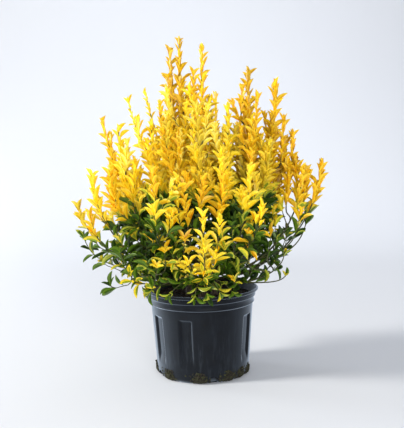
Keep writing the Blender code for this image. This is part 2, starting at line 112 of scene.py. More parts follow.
def add_node(material: bpy.types.Material, kind: str, links: dict | None = None,
             **settings: object) -> bpy.types.Node:
    """Add a shader node with its settings and links.

    Args:
        material: The material that gets the node.
        kind: The node's type name.
        links: Sockets to join to this node's inputs, by input name or number.
        **settings: Node properties, or input values by their names in lower case.

    Returns:
        The new node.
    """
    node = material.node_tree.nodes.new(kind)
    for name, value in settings.items():
        if hasattr(node, name):
            setattr(node, name, value)
        else:
            node.inputs[name.replace("_", " ").title()].default_value = value
    for name, socket in (links or {}).items():
        material.node_tree.links.new(socket, node.inputs[name])
    return node


def new_material(name: str) -> tuple[bpy.types.Material, bpy.types.Node]:
    """Make a material with a Principled shader.

    Args:
        name: The finish's name.

    Returns:
        The material and its Principled shader.
    """
    material = bpy.data.materials.new(name)
    material.use_nodes = True
    return material, material.node_tree.nodes["Principled BSDF"]


def ramp(material: bpy.types.Material, socket: bpy.types.NodeSocket,
         stops: list[tuple[float, str]]) -> bpy.types.Node:
    """Add a colour ramp with stops given as positions and hex colours.

    Args:
        material: The material that gets the ramp.
        socket: What drives it.
        stops: Position and colour pairs, lowest first.

    Returns:
        The ramp node.
    """
    node = add_node(material, "ShaderNodeValToRGB", {"Fac": socket})
    while len(node.color_ramp.elements) < len(stops):
        node.color_ramp.elements.new(1.0)
    for element, (position, code) in zip(node.color_ramp.elements, stops):
        element.position = position
        element.color = linear(code)
    return node


@dataclass(frozen=True)
class LeafCuticle:
    """Living leaf with a waxy cuticle: one plain colour and a soft satin gloss."""

    name: str
    colour: str
    roughness: float = 0.42
    ior: float = 1.45
    glow_share: float = 0.55
    glow_mm: float = 7.0

    def make(self) -> bpy.types.Material:
        """Build the material; light that passes through the blade spreads in it."""
        material, shader = new_material(self.name)
        shader.subsurface_method = "BURLEY"
        shader.inputs["Base Color"].default_value = linear(self.colour)
        shader.inputs["Subsurface Weight"].default_value = self.glow_share
        shader.inputs["Subsurface Radius"].default_value = (1.0, 0.88, 0.25)
        shader.inputs["Subsurface Scale"].default_value = self.glow_mm * MM
        shader.inputs["Roughness"].default_value = self.roughness
        shader.inputs["IOR"].default_value = self.ior
        shader.inputs["Specular IOR Level"].default_value = 0.35
        material.diffuse_color = linear(self.colour)
        return material


@dataclass(frozen=True)
class Bark:
    """Bark of a young shrub: long cracks that run along the limb, dull between them."""

    name: str
    light: str
    dark: str
    crack_mm: float
    roughness: float = 0.82

    def make(self) -> bpy.types.Material:
        """Build the material from stretched noise on object coordinates."""
        material, shader = new_material(self.name)
        place = add_node(material, "ShaderNodeTexCoord")
        stretch = add_node(material, "ShaderNodeMapping", {"Vector": place.outputs["Object"]})
        stretch.inputs["Scale"].default_value = (1.0, 1.0, 0.22)
        cracks = add_node(material, "ShaderNodeTexNoise", {"Vector": stretch.outputs[0]},
                          scale=1.0 / (self.crack_mm * MM), detail=4.0, roughness=0.6)
        colour = ramp(material, cracks.outputs[0], [(0.38, self.dark), (0.62, self.light)])
        bump = add_node(material, "ShaderNodeBump", {"Height": cracks.outputs[0]},
                        strength=0.5, distance=0.0006)
        links = material.node_tree.links
        links.new(colour.outputs[0], shader.inputs["Base Color"])
        links.new(bump.outputs[0], shader.inputs["Normal"])
        shader.inputs["Roughness"].default_value = self.roughness
        return material


@dataclass(frozen=True)
class MouldedPolypropylene:
    """Black injection-moulded polypropylene, dusty from the nursery bench.

    Fine grain dulls the gloss, water leaves pale upright streaks, and soil splashes
    and scuffs gather low on the wall.
    """

    name: str = "moulded_black_polypropylene"
    plain: str = "#090b0f"
    worn: str = "#10141a"
    dust: str = "#464e57"
    grain_mm: float = 0.9
    patch_mm: float = 34.0
    streak_mm: float = 7.0
    dust_sheen: float = 0.92

    def make(self) -> bpy.types.Material:
        """Build the material."""
        material, shader = new_material(self.name)
        links = material.node_tree.links
        place = add_node(material, "ShaderNodeTexCoord")
        patches = add_node(material, "ShaderNodeTexNoise", {"Vector": place.outputs["Object"]},
                           scale=1.0 / (self.patch_mm * MM), detail=6.0, roughness=0.62)
        base = ramp(material, patches.outputs[0], [(0.36, self.plain), (0.68, self.worn)])
        stretch = add_node(material, "ShaderNodeMapping", {"Vector": place.outputs["Object"]})
        stretch.inputs["Scale"].default_value = (1.0, 1.0, 0.09)
        streaks = add_node(material, "ShaderNodeTexNoise", {"Vector": stretch.outputs[0]},
                           scale=1.0 / (self.streak_mm * MM), detail=3.0, roughness=0.7)
        parts = add_node(material, "ShaderNodeSeparateXYZ", {"Vector": place.outputs["Object"]})
        low = add_node(material, "ShaderNodeMapRange", {"Value": parts.outputs["Z"]},
                       from_min=0.150, from_max=0.0, to_min=0.05, to_max=0.4)
        marks = add_node(material, "ShaderNodeMapRange", {"Value": streaks.outputs[0]},
                         from_min=0.52, from_max=0.78)
        amount = add_node(material, "ShaderNodeMath",
                          {0: low.outputs[0], 1: marks.outputs[0]}, operation="MULTIPLY")
        dusty = add_node(material, "ShaderNodeMix", data_type="RGBA")
        links.new(amount.outputs[0], dusty.inputs["Factor"])
        links.new(base.outputs[0], dusty.inputs[6])
        dusty.inputs[7].default_value = linear(self.dust)
        links.new(dusty.outputs[2], shader.inputs["Base Color"])
        rough = add_node(material, "ShaderNodeMapRange", {"Value": patches.outputs[0]},
                         from_min=0.3, from_max=0.7, to_min=0.4, to_max=0.52)
        links.new(rough.outputs[0], shader.inputs["Roughness"])
        grain = add_node(material, "ShaderNodeTexNoise", {"Vector": place.outputs["Object"]},
                         scale=1.0 / (self.grain_mm * MM), detail=2.0)
        bump = add_node(material, "ShaderNodeBump", {"Height": grain.outputs[0]},
                        strength=0.12, distance=0.0003)
        links.new(bump.outputs[0], shader.inputs["Normal"])
        shader.inputs["IOR"].default_value = 1.49
        shader.inputs["Specular IOR Level"].default_value = 0.11
        shader.inputs["Sheen Weight"].default_value = self.dust_sheen
        shader.inputs["Sheen Roughness"].default_value = 0.41
        shader.inputs["Sheen Tint"].default_value = linear("#d2e2f4")
        return material


@dataclass(frozen=True)
class Crumbs:
    """Moist peat, bark or moss: small dark crumbs in two tones, quite dull. One noise drives
    both colour and bump, so the dark tone in the bump's hollows is partly painted shade and the
    light tone on its raised parts partly painted highlight.
    """

    name: str
    dark: str
    light: str
    crumb_mm: float
    roughness: float = 0.95

    def make(self) -> bpy.types.Material:
        """Build the material."""
        material, shader = new_material(self.name)
        links = material.node_tree.links
        place = add_node(material, "ShaderNodeTexCoord")
        crumbs = add_node(material, "ShaderNodeTexNoise", {"Vector": place.outputs["Object"]},
                          scale=1.0 / (self.crumb_mm * MM), detail=5.0, roughness=0.7)
        # Colour follows the bump's noise: darker in its hollows as painted shade, lighter on its
        # raised parts as painted highlight, besides the crumbs' own two tones.
        colour = ramp(material, crumbs.outputs[0], [(0.35, self.dark), (0.66, self.light)])
        bump = add_node(material, "ShaderNodeBump", {"Height": crumbs.outputs[0]},
                        strength=0.8, distance=0.0015)
        links.new(colour.outputs[0], shader.inputs["Base Color"])
        links.new(bump.outputs[0], shader.inputs["Normal"])
        shader.inputs["Roughness"].default_value = self.roughness
        return material


class Tone(Enum):
    """Colourings of a leaf, as its margin's and its heart's colours."""

    GOLD = ("#fbdd30", "#edc010")
    BRIGHT_GOLD = ("#fde33a", "#f3cb14")
    LEMON = ("#fdea62", "#f3d22e")
    AMBER = ("#f6cd26", "#e3ab0e")
    OLD_GOLD = ("#eccd34", "#c8ab1c")
    # Deepest gold of the highest tips: partly their own colour, partly painted shade that holds
    # down the fuller light on the crown's top.
    DEEP_GOLD = ("#e0b614", "#c29306")
    LIME = ("#eedb34", "#bcbe2c")
    HEARTED = ("#e6cf32", "#8b9c28")
    EDGED = ("#b2b63a", "#466618")
    GREEN = ("#5c7a1b", "#3c5a11")
    # Darkest green of the innermost, lowest leaves: partly their own green, partly painted shade
    # of the crown's inside.
    DARK = ("#364f10", "#1d340a")

    @property
    def label(self) -> str:
        """Name used for the tone's piece."""
        return self.name.lower()


GOLDS = (Tone.GOLD, Tone.BRIGHT_GOLD, Tone.LEMON, Tone.AMBER, Tone.OLD_GOLD,
         Tone.DEEP_GOLD)
LOW_GOLD_WEIGHTS = (0.34, 0.26, 0.12, 0.15, 0.13, 0.0)
# High shoots draw mostly the deepest gold, partly as painted shade on the crown's brighter top.
HIGH_GOLD_WEIGHTS = (0.0, 0.0, 0.0, 0.2, 0.05, 0.75)


def place_piece(name: str, mesh: bpy.types.Mesh,
                materials: list[bpy.types.Material], nodes: list[str]) -> bpy.types.Object:
    """Put a finished mesh in the scene as a piece of the plant.

    Args:
        name: The piece's name.
        mesh: Its mesh, in place.
        materials: Its materials, in the order of its faces' indices.
        nodes: The frame's nodes that it stands for.

    Returns:
        The piece.
    """
    piece = bpy.data.objects.new(name, mesh)
    bpy.context.scene.collection.objects.link(piece)
    for material in materials:
        mesh.materials.append(material)
    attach(piece, BODY)
    if nodes:
        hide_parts(*nodes)
    LOG.info("%s: %d faces", name, len(mesh.polygons))
    return piece


def mesh_of(name: str, shape: bmesh.types.BMesh, sharp_deg: float = 40.0) -> bpy.types.Mesh:
    """Turn a bmesh in millimetres into a smooth-shaded mesh in metres and free it."""
    bmesh.ops.scale(shape, vec=(MM, MM, MM), verts=shape.verts)
    mesh = bpy.data.meshes.new(name)
    shape.to_mesh(mesh)
    shape.free()
    mesh.shade_smooth()
    mesh.set_sharp_from_angle(angle=math.radians(sharp_deg))
    return mesh


def spun(profile: list[tuple[float, float]], steps: int) -> bmesh.types.BMesh:
    """Turn a profile of (radius, height) right round the pot's axis.

    Args:
        profile: Points from the axis over the shape and back to the axis.
        steps: Number of steps in the turn.

    Returns:
        The closed shape with its faces outward.
    """
    shape = bmesh.new()
    points = [shape.verts.new((radius, 0.0, height)) for radius, height in profile]
    edges = [shape.edges.new(pair) for pair in zip(points, points[1:])]
    bmesh.ops.spin(shape, geom=points + edges, cent=(0.0, 0.0, 0.0), axis=(0.0, 0.0, 1.0),
                   angle=math.tau, steps=steps, use_merge=True)
    bmesh.ops.remove_doubles(shape, verts=shape.verts, dist=0.001)
    bmesh.ops.recalc_face_normals(shape, faces=shape.faces)
    return shape


def arc(centre: tuple[float, float], radius: float, start_deg: float, end_deg: float,
        count: int) -> list[tuple[float, float]]:
    """Points of a round stretch in a turned profile."""
    turns = [math.radians(start_deg + (end_deg - start_deg) * k / count)
             for k in range(count + 1)]
    return [(centre[0] + radius * math.cos(t), centre[1] + radius * math.sin(t))
            for t in turns]


@dataclass
class NurseryPot:
    """Round nursery container: rolled rim, two collars, a bead, sunk panels and notches."""

    height: float = 182.0
    rim_radius: float = 120.0
    rim_round: float = 2.9
    collar_radius: float = 114.5
    neck_radius: float = 110.5
    bead_radius: float = 111.4
    bead_height: float = 153.5
    shoulder_radius: float = 108.5
    foot_radius: float = 97.5
    foot_round: float = 9.0
    wall: float = 2.2
    steps: int = 360
    row_step: float = 3.0
    panel_places: int = 9
    plain_place: int = 1
    first_panel_deg: float = -19.0
    panel_width: float = 31.0
    panel_low: float = 31.0
    panel_high: float = 133.0
    panel_depth: float = 5.0
    panel_corner: float = 5.0
    panel_slope: float = 5.0
    panel_fade: float = 26.0
    notch_places: int = 18
    notches_in_a_run: int = 5
    first_notch_deg: float = -8.0
    notch_radius: float = 10.0
    notch_height: float = 3.2
    notch_sides: int = 20

    def wall_radius(self, height: float) -> float:
        """Radius of the tapering wall at a height."""
        share = (height - self.foot_round) / (self.bead_height - self.foot_round)
        return self.foot_radius + (self.shoulder_radius - self.foot_radius) * share

    def rows(self) -> list[float]:
        """Heights of the wall's rows, close together at the panels' ends."""
        ends = [edge + shift for edge in (self.panel_low, self.panel_high)
                for shift in (-0.9, 0.0, 0.9, 1.8)]
        low, high = self.foot_round + 0.5, self.bead_height - 3.0
        count = int((high - low) / self.row_step)
        even = [low + (high - low) * k / count for k in range(count + 1)]
        even = [row for row in even if min(abs(row - end) for end in ends) > 0.8]
        return sorted(even + ends, reverse=True)

    def profile(self) -> list[tuple[float, float]]:
        """Profile of the shell: floor, inner wall, rim, collars, outer wall, foot."""
        rows = self.rows()
        inside = [(0.0, self.wall), (self.foot_radius - self.wall - 2.0, self.wall)]
        inside += [(self.wall_radius(row) - self.wall, row) for row in reversed(rows)]
        inside += [(self.neck_radius - self.wall, self.height - 16.0),
                   (self.collar_radius - self.wall, self.height - 7.0)]
        rim = arc((self.rim_radius - self.rim_round, self.height - self.rim_round),
                  self.rim_round, 165.0, -75.0, 12)
        collar = self.height - 16.5
        outside = [(self.collar_radius - 0.6, self.height - 5.8),
                   (self.collar_radius - 1.6, self.height - 6.6),
                   (self.collar_radius - 1.6, self.height - 8.4),
                   (self.collar_radius - 0.4, self.height - 9.4),
                   (self.collar_radius - 0.5, collar + 0.8),
                   (self.collar_radius - 1.2, collar),
                   (self.neck_radius + 0.7, collar - 0.7),
                   (self.neck_radius, collar - 1.7),
                   (self.neck_radius - 0.4, self.bead_height + 2.6)]
        bead = arc((self.bead_radius - 1.3, self.bead_height), 1.5, 75.0, -60.0, 6)
        outside += bead + [(self.wall_radius(row), row) for row in rows]
        foot = arc((self.foot_radius - self.foot_round, self.foot_round),
                   self.foot_round, 0.0, -90.0, 8)
        return inside + rim + outside + foot + [(0.0, 0.0)]

    def panel_degrees(self) -> list[float]:
        """Azimuths of the sunk panels."""
        return [self.first_panel_deg + 360.0 / self.panel_places * place
                for place in range(self.panel_places) if place != self.plain_place]

    def notch_degrees(self) -> list[float]:
        """Azimuths of the drain notches."""
        return [self.first_notch_deg + 360.0 / self.notch_places * place
                for place in range(self.notch_places)
                if place % (self.notches_in_a_run + 1) != self.notches_in_a_run]

    def sink(self, place: Vector) -> float:
        """How far the wall is pressed in at a place by the nearest panel."""
        radius = math.hypot(place.x, place.y)
        degrees = math.degrees(math.atan2(place.x, -place.y))
        aside = min(abs((degrees - centre + 180.0) % 360.0 - 180.0)
                    for centre in self.panel_degrees())
        across = math.radians(aside) * radius - self.panel_width / 2.0 + self.panel_corner
        along = max(place.z - self.panel_high, self.panel_low - 9.0 - place.z)
        along += self.panel_corner
        outer = math.hypot(max(across, 0.0), max(along, 0.0))
        distance = outer + min(max(across, along), 0.0) - self.panel_corner
        fade = smooth_step(self.panel_low - 2.0, self.panel_low + self.panel_fade, place.z)
        return self.panel_depth * smooth_step(0.3, -self.panel_slope, distance) * fade

    def press_panels(self, shape: bmesh.types.BMesh) -> None:
        """Press the panels into both sides of the wall."""
        for vertex in shape.verts:
            radius = math.hypot(vertex.co.x, vertex.co.y)
            if not self.foot_round < vertex.co.z < self.bead_height - 2.0 or radius < 80.0:
                continue
            share = 1.0 - self.sink(vertex.co) / radius
            vertex.co.x *= share
            vertex.co.y *= share

    def cut_notches(self, pot: bpy.types.Object) -> None:
        """Cut the drain notches through the bottom edge."""
        cutters = bpy.data.collections.new("notch_cutters")
        for degrees in self.notch_degrees():
            shape = bmesh.new()
            centre = polar(self.foot_radius + 2.0, degrees, self.notch_height)
            turn = Matrix.Rotation(math.radians(degrees), 4, "Z") @ Matrix.Rotation(
                math.pi / 2.0, 4, "X")
            bmesh.ops.create_cone(shape, cap_ends=True, segments=self.notch_sides,
                                  radius1=self.notch_radius, radius2=self.notch_radius,
                                  depth=26.0, matrix=Matrix.Translation(centre) @ turn)
            cutter = bpy.data.objects.new("notch_cutter", mesh_of("notch_cutter", shape))
            cutters.objects.link(cutter)
        cut = pot.modifiers.new("notches", "BOOLEAN")
        cut.operation = "DIFFERENCE"
        cut.operand_type = "COLLECTION"
        cut.collection = cutters
        cut.solver = "EXACT"
        bpy.context.view_layer.update()
        graph = bpy.context.evaluated_depsgraph_get()
        mesh = bpy.data.meshes.new_from_object(pot.evaluated_get(graph))
        pot.modifiers.clear()
        pot.data = mesh
        for cutter in list(cutters.objects):
            bpy.data.objects.remove(cutter)
        bpy.data.collections.remove(cutters)
        mesh.shade_smooth()
        mesh.set_sharp_from_angle(angle=math.radians(40.0))

    def build(self) -> bpy.types.Object:
        """Build the pot's shell in the place of its node."""
        shape = spun(self.profile(), self.steps)
        self.press_panels(shape)
        mesh = mesh_of("pot_shell", shape)
        pot = place_piece("pot_shell", mesh,
                          [MouldedPolypropylene().make()], ["pot"])
        self.cut_notches(pot)
        return pot


@dataclass
class Litter:
    """Many small lumps joined in one mesh, made from one shared form."""

    name: str
    dice: random.Random
    corners: list[np.ndarray] = field(default_factory=list)
    faces: list[np.ndarray] = field(default_factory=list)
    count: int = 0

    def form(self) -> tuple[np.ndarray, np.ndarray]:
        """Corners and triangles of a small ball."""
        shape = bmesh.new()
        bmesh.ops.create_icosphere(shape, subdivisions=1, radius=1.0)
        shape.verts.ensure_lookup_table()
        corners = np.array([vertex.co for vertex in shape.verts])
        faces = np.array([[vertex.index for vertex in face.verts] for face in shape.faces])
        shape.free()
        return corners, faces

    def add(self, centre: Vector, size: Vector, turn: Matrix) -> None:
        """Add one lump of a size, roughened and turned.

        Args:
            centre: Its middle.
            size: Its half lengths.
            turn: Its rotation.
        """
        corners, faces = self.form() if not self.corners else (self.ball, self.ball_faces)
        self.ball, self.ball_faces = corners, faces
        rough = np.array([[self.dice.uniform(0.72, 1.2)] for _ in range(len(corners))])
        lump = (corners * rough * np.array(size)) @ np.array(turn.to_3x3()).T
        self.corners.append((lump + np.array(centre)) * MM)
        self.faces.append(faces + self.count)
        self.count += len(corners)

    def finish(self) -> bpy.types.Mesh:
        """Join the lumps into one mesh."""
        mesh = bpy.data.meshes.new(self.name)
        mesh.from_pydata(np.concatenate(self.corners), [], np.concatenate(self.faces).tolist())
        mesh.update()
        mesh.shade_flat()
        return mesh


def any_turn(dice: random.Random) -> Matrix:
    """Random rotation."""
    spin = Matrix.Rotation(dice.uniform(0.0, math.tau), 4, "Z")
    tilt = Matrix.Rotation(dice.uniform(-0.9, 0.9), 4, "X")
    return spin @ tilt @ Matrix.Rotation(dice.uniform(0.0, math.tau), 4, "Z")


@dataclass
class GrowingMedium:
    """Peat that fills the pot, with bark chips strewn over its uneven top."""

    pot: NurseryPot
    top: float = 164.0
    hump: float = 3.0
    chips: int = 620
    crumbs: int = 900

    def surface(self, across: float, depth: float) -> float:
        """Height of the uneven top at a place."""
        lumps = noise.noise(Vector((across, depth, 3.1)) * 0.045) * self.hump
        return self.top + lumps + noise.noise(Vector((across, depth, 7.7)) * 0.16) * 1.4

    def build(self) -> None:
        """Build the peat and the litter on it in the place of their node."""
        edge = self.pot.wall_radius(self.top) - self.pot.wall - 0.9
        rings = [edge * k / 40.0 for k in range(41)]
        low = self.top - 24.0
        profile = [(ring, self.top) for ring in rings]
        profile += [(self.pot.wall_radius(low) - self.pot.wall - 0.9, low), (0.0, low)]
        shape = spun(profile, 120)
        for vertex in shape.verts:
            if vertex.co.z > low + 1.0:
                vertex.co.z = self.surface(vertex.co.x, vertex.co.y)
        # The peat, chips and crumbs take their darker colour in the hollows of their bump as
        # painted shade and their lighter colour on the rises as painted highlight.
        peat = Crumbs("moist_peat", "#060504", "#15100c", 3.5).make()
        place_piece("peat", mesh_of("peat", shape, 80.0), [peat],
                    ["growing_medium"])
        self.strew("bark_chips", self.chips, (2.2, 6.5), "#120b07", "#3c2a1a", edge - 5.0)
        self.strew("peat_crumbs", self.crumbs, (0.9, 2.4), "#080604", "#1c140e", edge - 2.0)

    def strew(self, name: str, count: int, sizes: tuple[float, float], dark: str,
              light: str, reach: float) -> None:
        """Strew lumps over the peat.

        Args:
            name: The piece's name.
            count: Number of lumps.
            sizes: Least and greatest half length.
            dark: Colour in the hollows, partly painted shade.
            light: Colour on the raised parts, partly painted highlight.
            reach: How far from the axis they lie.
        """
        dice = random.Random(SEED + count)
        litter = Litter(name, dice)
        for _ in range(count):
            spot = polar(reach * math.sqrt(dice.random()), dice.uniform(0.0, 360.0))
            long = dice.uniform(*sizes)
            size = Vector((long, long * dice.uniform(0.4, 0.7), long * dice.uniform(0.16, 0.4)))
            spot.z = self.surface(spot.x, spot.y) + size.z * 0.6
            litter.add(spot, size, any_turn(dice))
        place_piece(name, litter.finish(),
                    [Crumbs(name, dark, light, 4.0).make()], [])


@dataclass
class Moss:
    """Moss and roots that have grown out of the pot's drain notches."""

    pot: NurseryPot
    lumps: int = 420
    open_notches: tuple[int, ...] = (1, 6, 9, 13)
    shifts: dict[int, float] = field(default_factory=lambda: {0: 7.0, 14: 3.0})
    clump_width: float = 7.8
    clump_rise: float = 8.6
    greatest_height: float = 23.0
    wisps: int = 18

    def lump(self, litter: Litter, degrees: float, shift: float, plugged: bool,
             dice: random.Random) -> None:
        """Add one lump of moss in or beside a notch.

        Args:
            litter: Takes the lump.
            degrees: The notch's azimuth.
            shift: How far the clump has grown aside of it.
            plugged: Whether the moss fills the notch, and doesn't only edge it.
            dice: Seeded draws.
        """
        aside = dice.gauss(0.0, self.clump_width)
        height = min(abs(dice.gauss(0.0, self.clump_rise)) + 1.8, self.greatest_height)
        if not plugged:
            aside = (self.pot.notch_radius + 4.0) * dice.choice((-1.0, 1.0))
        turn = degrees + math.degrees((aside + shift) / self.pot.foot_radius)
        swell = math.exp(-(aside / 8.0) ** 2) * 2.4
        out = dice.uniform(-4.0, 0.4 + swell) if plugged else dice.uniform(-2.0, 1.2)
        round_in = max(0.0, 1.0 - height / self.pot.foot_round) ** 2.0
        away = self.pot.wall_radius(max(height, 4.0)) - 7.0 * round_in + out
        size = Vector([dice.uniform(0.8, 3.0) for _ in range(3)])
        spot = polar(away, turn, max(height, max(size) * 1.25))
        litter.add(spot, size, any_turn(dice))

    def build(self) -> None:
        """Build moss round every notch, in two shades."""
        # Each moss colour's dark half lands in the hollows of the crumbs' bump as painted shade,
        # its light half on the rises as painted highlight.
        for index, (name, dark, light) in enumerate((("moss_green", "#0c0e07", "#454626"),
                                                     ("moss_brown", "#080705", "#383222"))):
            dice = random.Random(SEED + 40 + index)
            litter = Litter(name, dice)
            for number, degrees in enumerate(self.pot.notch_degrees()):
                plugged = number not in self.open_notches
                fullness = dice.uniform(0.55, 1.0) if plugged else self.wisps / self.lumps
                for _ in range(int(self.lumps * fullness)):
                    self.lump(litter, degrees, self.shifts.get(number, 0.0), plugged, dice)
            place_piece(name, litter.finish(),
                        [Crumbs(name, dark, light, 2.0).make()], [])


class Path:
    """A limb's middle line, read by distance along it, with a frame that never twists."""

    def __init__(self, points: list[Vector]) -> None:
        """Measure the line and carry a sideways direction along it."""
        self.points = points
        self.marks = [0.0]
        self.headings = [(points[1] - points[0]).normalized()]
        self.sides = [self.headings[0].orthogonal().normalized()]
        for first, second in zip(points, points[1:]):
            heading = (second - first).normalized()
            bend = self.headings[-1].rotation_difference(heading)
            self.marks.append(self.marks[-1] + (second - first).length)
            self.headings.append(heading)
            self.sides.append((bend @ self.sides[-1]).normalized())
        self.length = self.marks[-1]

    def at(self, distance: float) -> tuple[Vector, Vector, Vector]:
        """Point, direction and sideways direction at a distance from the foot."""
        index = int(np.searchsorted(self.marks, distance))
        index = min(max(index, 1), len(self.points) - 1)
        span = self.marks[index] - self.marks[index - 1]
        share = (distance - self.marks[index - 1]) / span
        point = self.points[index - 1].lerp(self.points[index], share)
        heading = self.headings[index - 1].lerp(self.headings[index], share).normalized()
        side = self.sides[index - 1].lerp(self.sides[index], share)
        side = (side - heading * side.dot(heading)).normalized()
        return point, heading, side

    def axes(self, distance: float) -> Matrix:
        """Matrix that stands a ring across the limb at a distance."""
        point, heading, side = self.at(distance)
        turn = Matrix((side, heading.cross(side), heading)).transposed().to_4x4()
        return Matrix.Translation(point) @ turn


def bezier(start: Vector, leave: Vector, arrive: Vector, end: Vector,
           count: int) -> list[Vector]:
    """Points along a smooth limb between two ends with two guiding points."""
    shares = [step / count for step in range(count + 1)]
    return [start * (1.0 - t) ** 3 + leave * 3.0 * (1.0 - t) ** 2 * t
            + arrive * 3.0 * (1.0 - t) * t * t + end * t ** 3 for t in shares]


@dataclass
class Shoot:
    """One leafy shoot: its line, where its leaves start, and its thickness."""

    path: Path
    start: float
    foot_radius: float
    tip_radius: float
    mass: str
    order: int


@dataclass
class Habit:
    """How the shrub grows: short stems, boughs from them, and leading shoots beyond."""

    soil_top: float = 164.0
    stem_top: float = 252.0
    stem_ring: float = 27.0
    stem_lean: float = 14.0
    stem_flare_radius: float = 9.0
    stem_radius: float = 6.4
    stem_tip_radius: float = 4.8
    fork_low: float = 189.0
    fork_high: float = 243.0
    bough_radius: float = 2.9
    bough_tip_radius: float = 2.3
    bough_share: float = 0.27
    shoot_radius: float = 2.1
    shoot_tip_radius: float = 0.9
    path_points: int = 40
    socket: float = 6.0
    gap: float = 0.3
    least_swing: float = 38.0
    lift_share: float = 0.03
    tip_spread: float = 0.04
    leaning: dict[str, float] = field(default_factory=lambda: {
        "far_left": 24.0, "far_left_behind": 40.0, "high_left_behind": 42.0,
        "arching_left": 10.0})
    tip_upright: float = 0.5
    side_directions: int = 12
    side_fork: float = 0.08
    side_top: float = 0.62
    side_reach: float = 46.0
    crown_reach: float = 258.0
    golden_deg: float = 137.5
    stem_degrees: dict[str, float] = field(default_factory=lambda: {
        "left": -90.0, "front": 0.0, "right": 90.0, "rear": 180.0})
    leaders: dict[str, tuple[str, float, float, float]] = field(default_factory=lambda: {
        "tall_left": ("front", -36, -20, 690),
        "tall_behind": ("rear", -57, 34, 678),
        "tall_middle": ("front", 10, -38, 668),
        "high_right_behind": ("right", 111, 60, 632),
        "high_right": ("right", 163, 8, 592),
        "mid_right": ("right", 120, -30, 574),
        "middle_behind": ("rear", 39, 60, 580),
        "middle_front": ("front", 60, -62, 550),
        "high_left_behind": ("rear", -112, 62, 590),
        "far_left_behind": ("left", -149, 46, 576),
        "far_left": ("left", -198, -4, 530),
        "left_front": ("left", -160, -62, 512),
        "outer_left": ("left", -220, -42, 420),
        "arching_left": ("left", -258, 4, 352),
        "outer_right": ("right", 255, -6, 432),
        "outer_right_front": ("right", 208, -62, 420),
        "front_low": ("front", 2, -106, 286)})
    rings: dict[str, tuple[float, float, int, float, float]] = field(
        default_factory=lambda: {
            "brow": (-38.0, 40.0, 3, 146.0, 425.0),
            "skirt": (62.0, 79.0, 4, 188.0, 258.0),
            "back": (128.0, 52.0, 3, 186.0, 430.0)})
    ring_drop: dict[str, float] = field(default_factory=lambda: {
        "brow": 82.0, "skirt": -14.0, "back": -70.0})

    def stem_place(self, stem: str, height: float) -> Vector:
        """Point on a main stem's middle line."""
        share = (height - self.soil_top) / (self.stem_top - self.soil_top)
        return polar(self.stem_ring + self.stem_lean * share ** 2,
                     self.stem_degrees[stem], height)

    def stem_width(self, height: float) -> float:
        """Radius of a main stem, flared where it leaves the growing medium."""
        share = (height - self.soil_top) / (self.stem_top - self.soil_top)
        plain = self.stem_radius + (self.stem_tip_radius - self.stem_radius) * share
        return plain + (self.stem_flare_radius - self.stem_radius) * math.exp(-share * 9.0)

    def tips(self) -> dict[str, tuple[str, float, float, float]]:
        """Every leading shoot's stem and tip, those of the rings worked out by rule."""
        tips = dict(self.leaders)
        for ring, (first, step, count, reach, height) in self.rings.items():
            for k in range(count):
                degrees = first + step * k
                lower = self.ring_drop[ring] * (k % 2)
                tip = polar(reach + lower * 0.3, degrees, height - lower)
                sides = {name: abs((degrees - turn + 180.0) % 360.0 - 180.0)
                         for name, turn in self.stem_degrees.items()}
                tips[f"{ring}_{k + 1}"] = (min(sides, key=sides.get), tip.x, tip.y, tip.z)
        return tips

    def ordered(self) -> dict[str, list[tuple[str, Vector]]]:
        """Names and tips on each stem, lowest forks first."""
        tips = self.tips()

        def steepness(name: str) -> float:
            """Rise of a shoot over its spread."""
            stem, across, depth, height = tips[name]
            top = self.stem_place(stem, self.stem_top)
            spread = math.hypot(across - top.x, depth - top.y) + 10.0
            return (height - self.soil_top) / spread

        ordered: dict[str, list[tuple[str, Vector]]] = {s: [] for s in self.stem_degrees}
        for name in sorted(tips, key=steepness):
            ordered[tips[name][0]].append((name, Vector(tips[name][1:])))
        return ordered

    def limb_path(self, name: str, stem: str, place: int, places: int, tip: Vector) -> Path:
        """Middle line of a bough and its shoot, from the stem up to the tip."""
        if place == places - 1:
            top = self.stem_place(stem, self.stem_top)
            out = (top - self.stem_place(stem, self.stem_top - 12.0)).normalized()
            start = top + out * self.gap
            leave = start + out * (tip - start).length * 0.3
        else:
            height = self.fork_low + (self.fork_high - self.fork_low) * place / (places - 2)
            axis = self.stem_place(stem, height)
            out = Vector((tip.x - axis.x, tip.y - axis.y, 0.0))
            swing = max(self.least_swing, out.length * 0.5)
            out.normalize()
            levels = (height - self.bough_radius, height, height + self.bough_radius)
            clear = max((self.stem_place(stem, level) - axis).dot(out)
                        + self.stem_width(level) for level in levels)
            start = axis + out * (clear + self.gap)
            lift = self.lift_share * (tip.z - height) + 2.0
            leave = start + out * (swing + self.socket) + Vector((0.0, 0.0, lift))
        rise = tip.z - start.z
        inward = Vector((tip.x - start.x, tip.y - start.y, 0.0)) * self.tip_spread
        arrive = tip - inward - Vector((0.0, 0.0, rise * self.tip_upright))
        bend = bezier(start + out * self.socket, leave, arrive, tip, self.path_points)
        lean = inward.normalized() * self.leaning.get(name, 0.0)
        for k, point in enumerate(bend):
            share = k / self.path_points
            point -= lean * smooth_step(0.3, 0.6, share) * min(1.0, (1.0 - share) / 0.4)
        return Path([start] + bend)

    def side_path(self, leader: Path, start: float, tip: Vector) -> Path:
        """Middle line of a side shoot that leaves its leader and turns upright."""
        point, heading, _ = leader.at(start)
        out = tip - point
        leave = point + heading * out.length * 0.25 + Vector((out.x, out.y, 0.0)) * 0.45
        arrive = tip - Vector((out.x, out.y, 0.0)) * 0.1 - Vector((0.0, 0.0, out.z * 0.5))
        return Path(bezier(point, leave, arrive, tip, self.path_points // 2))

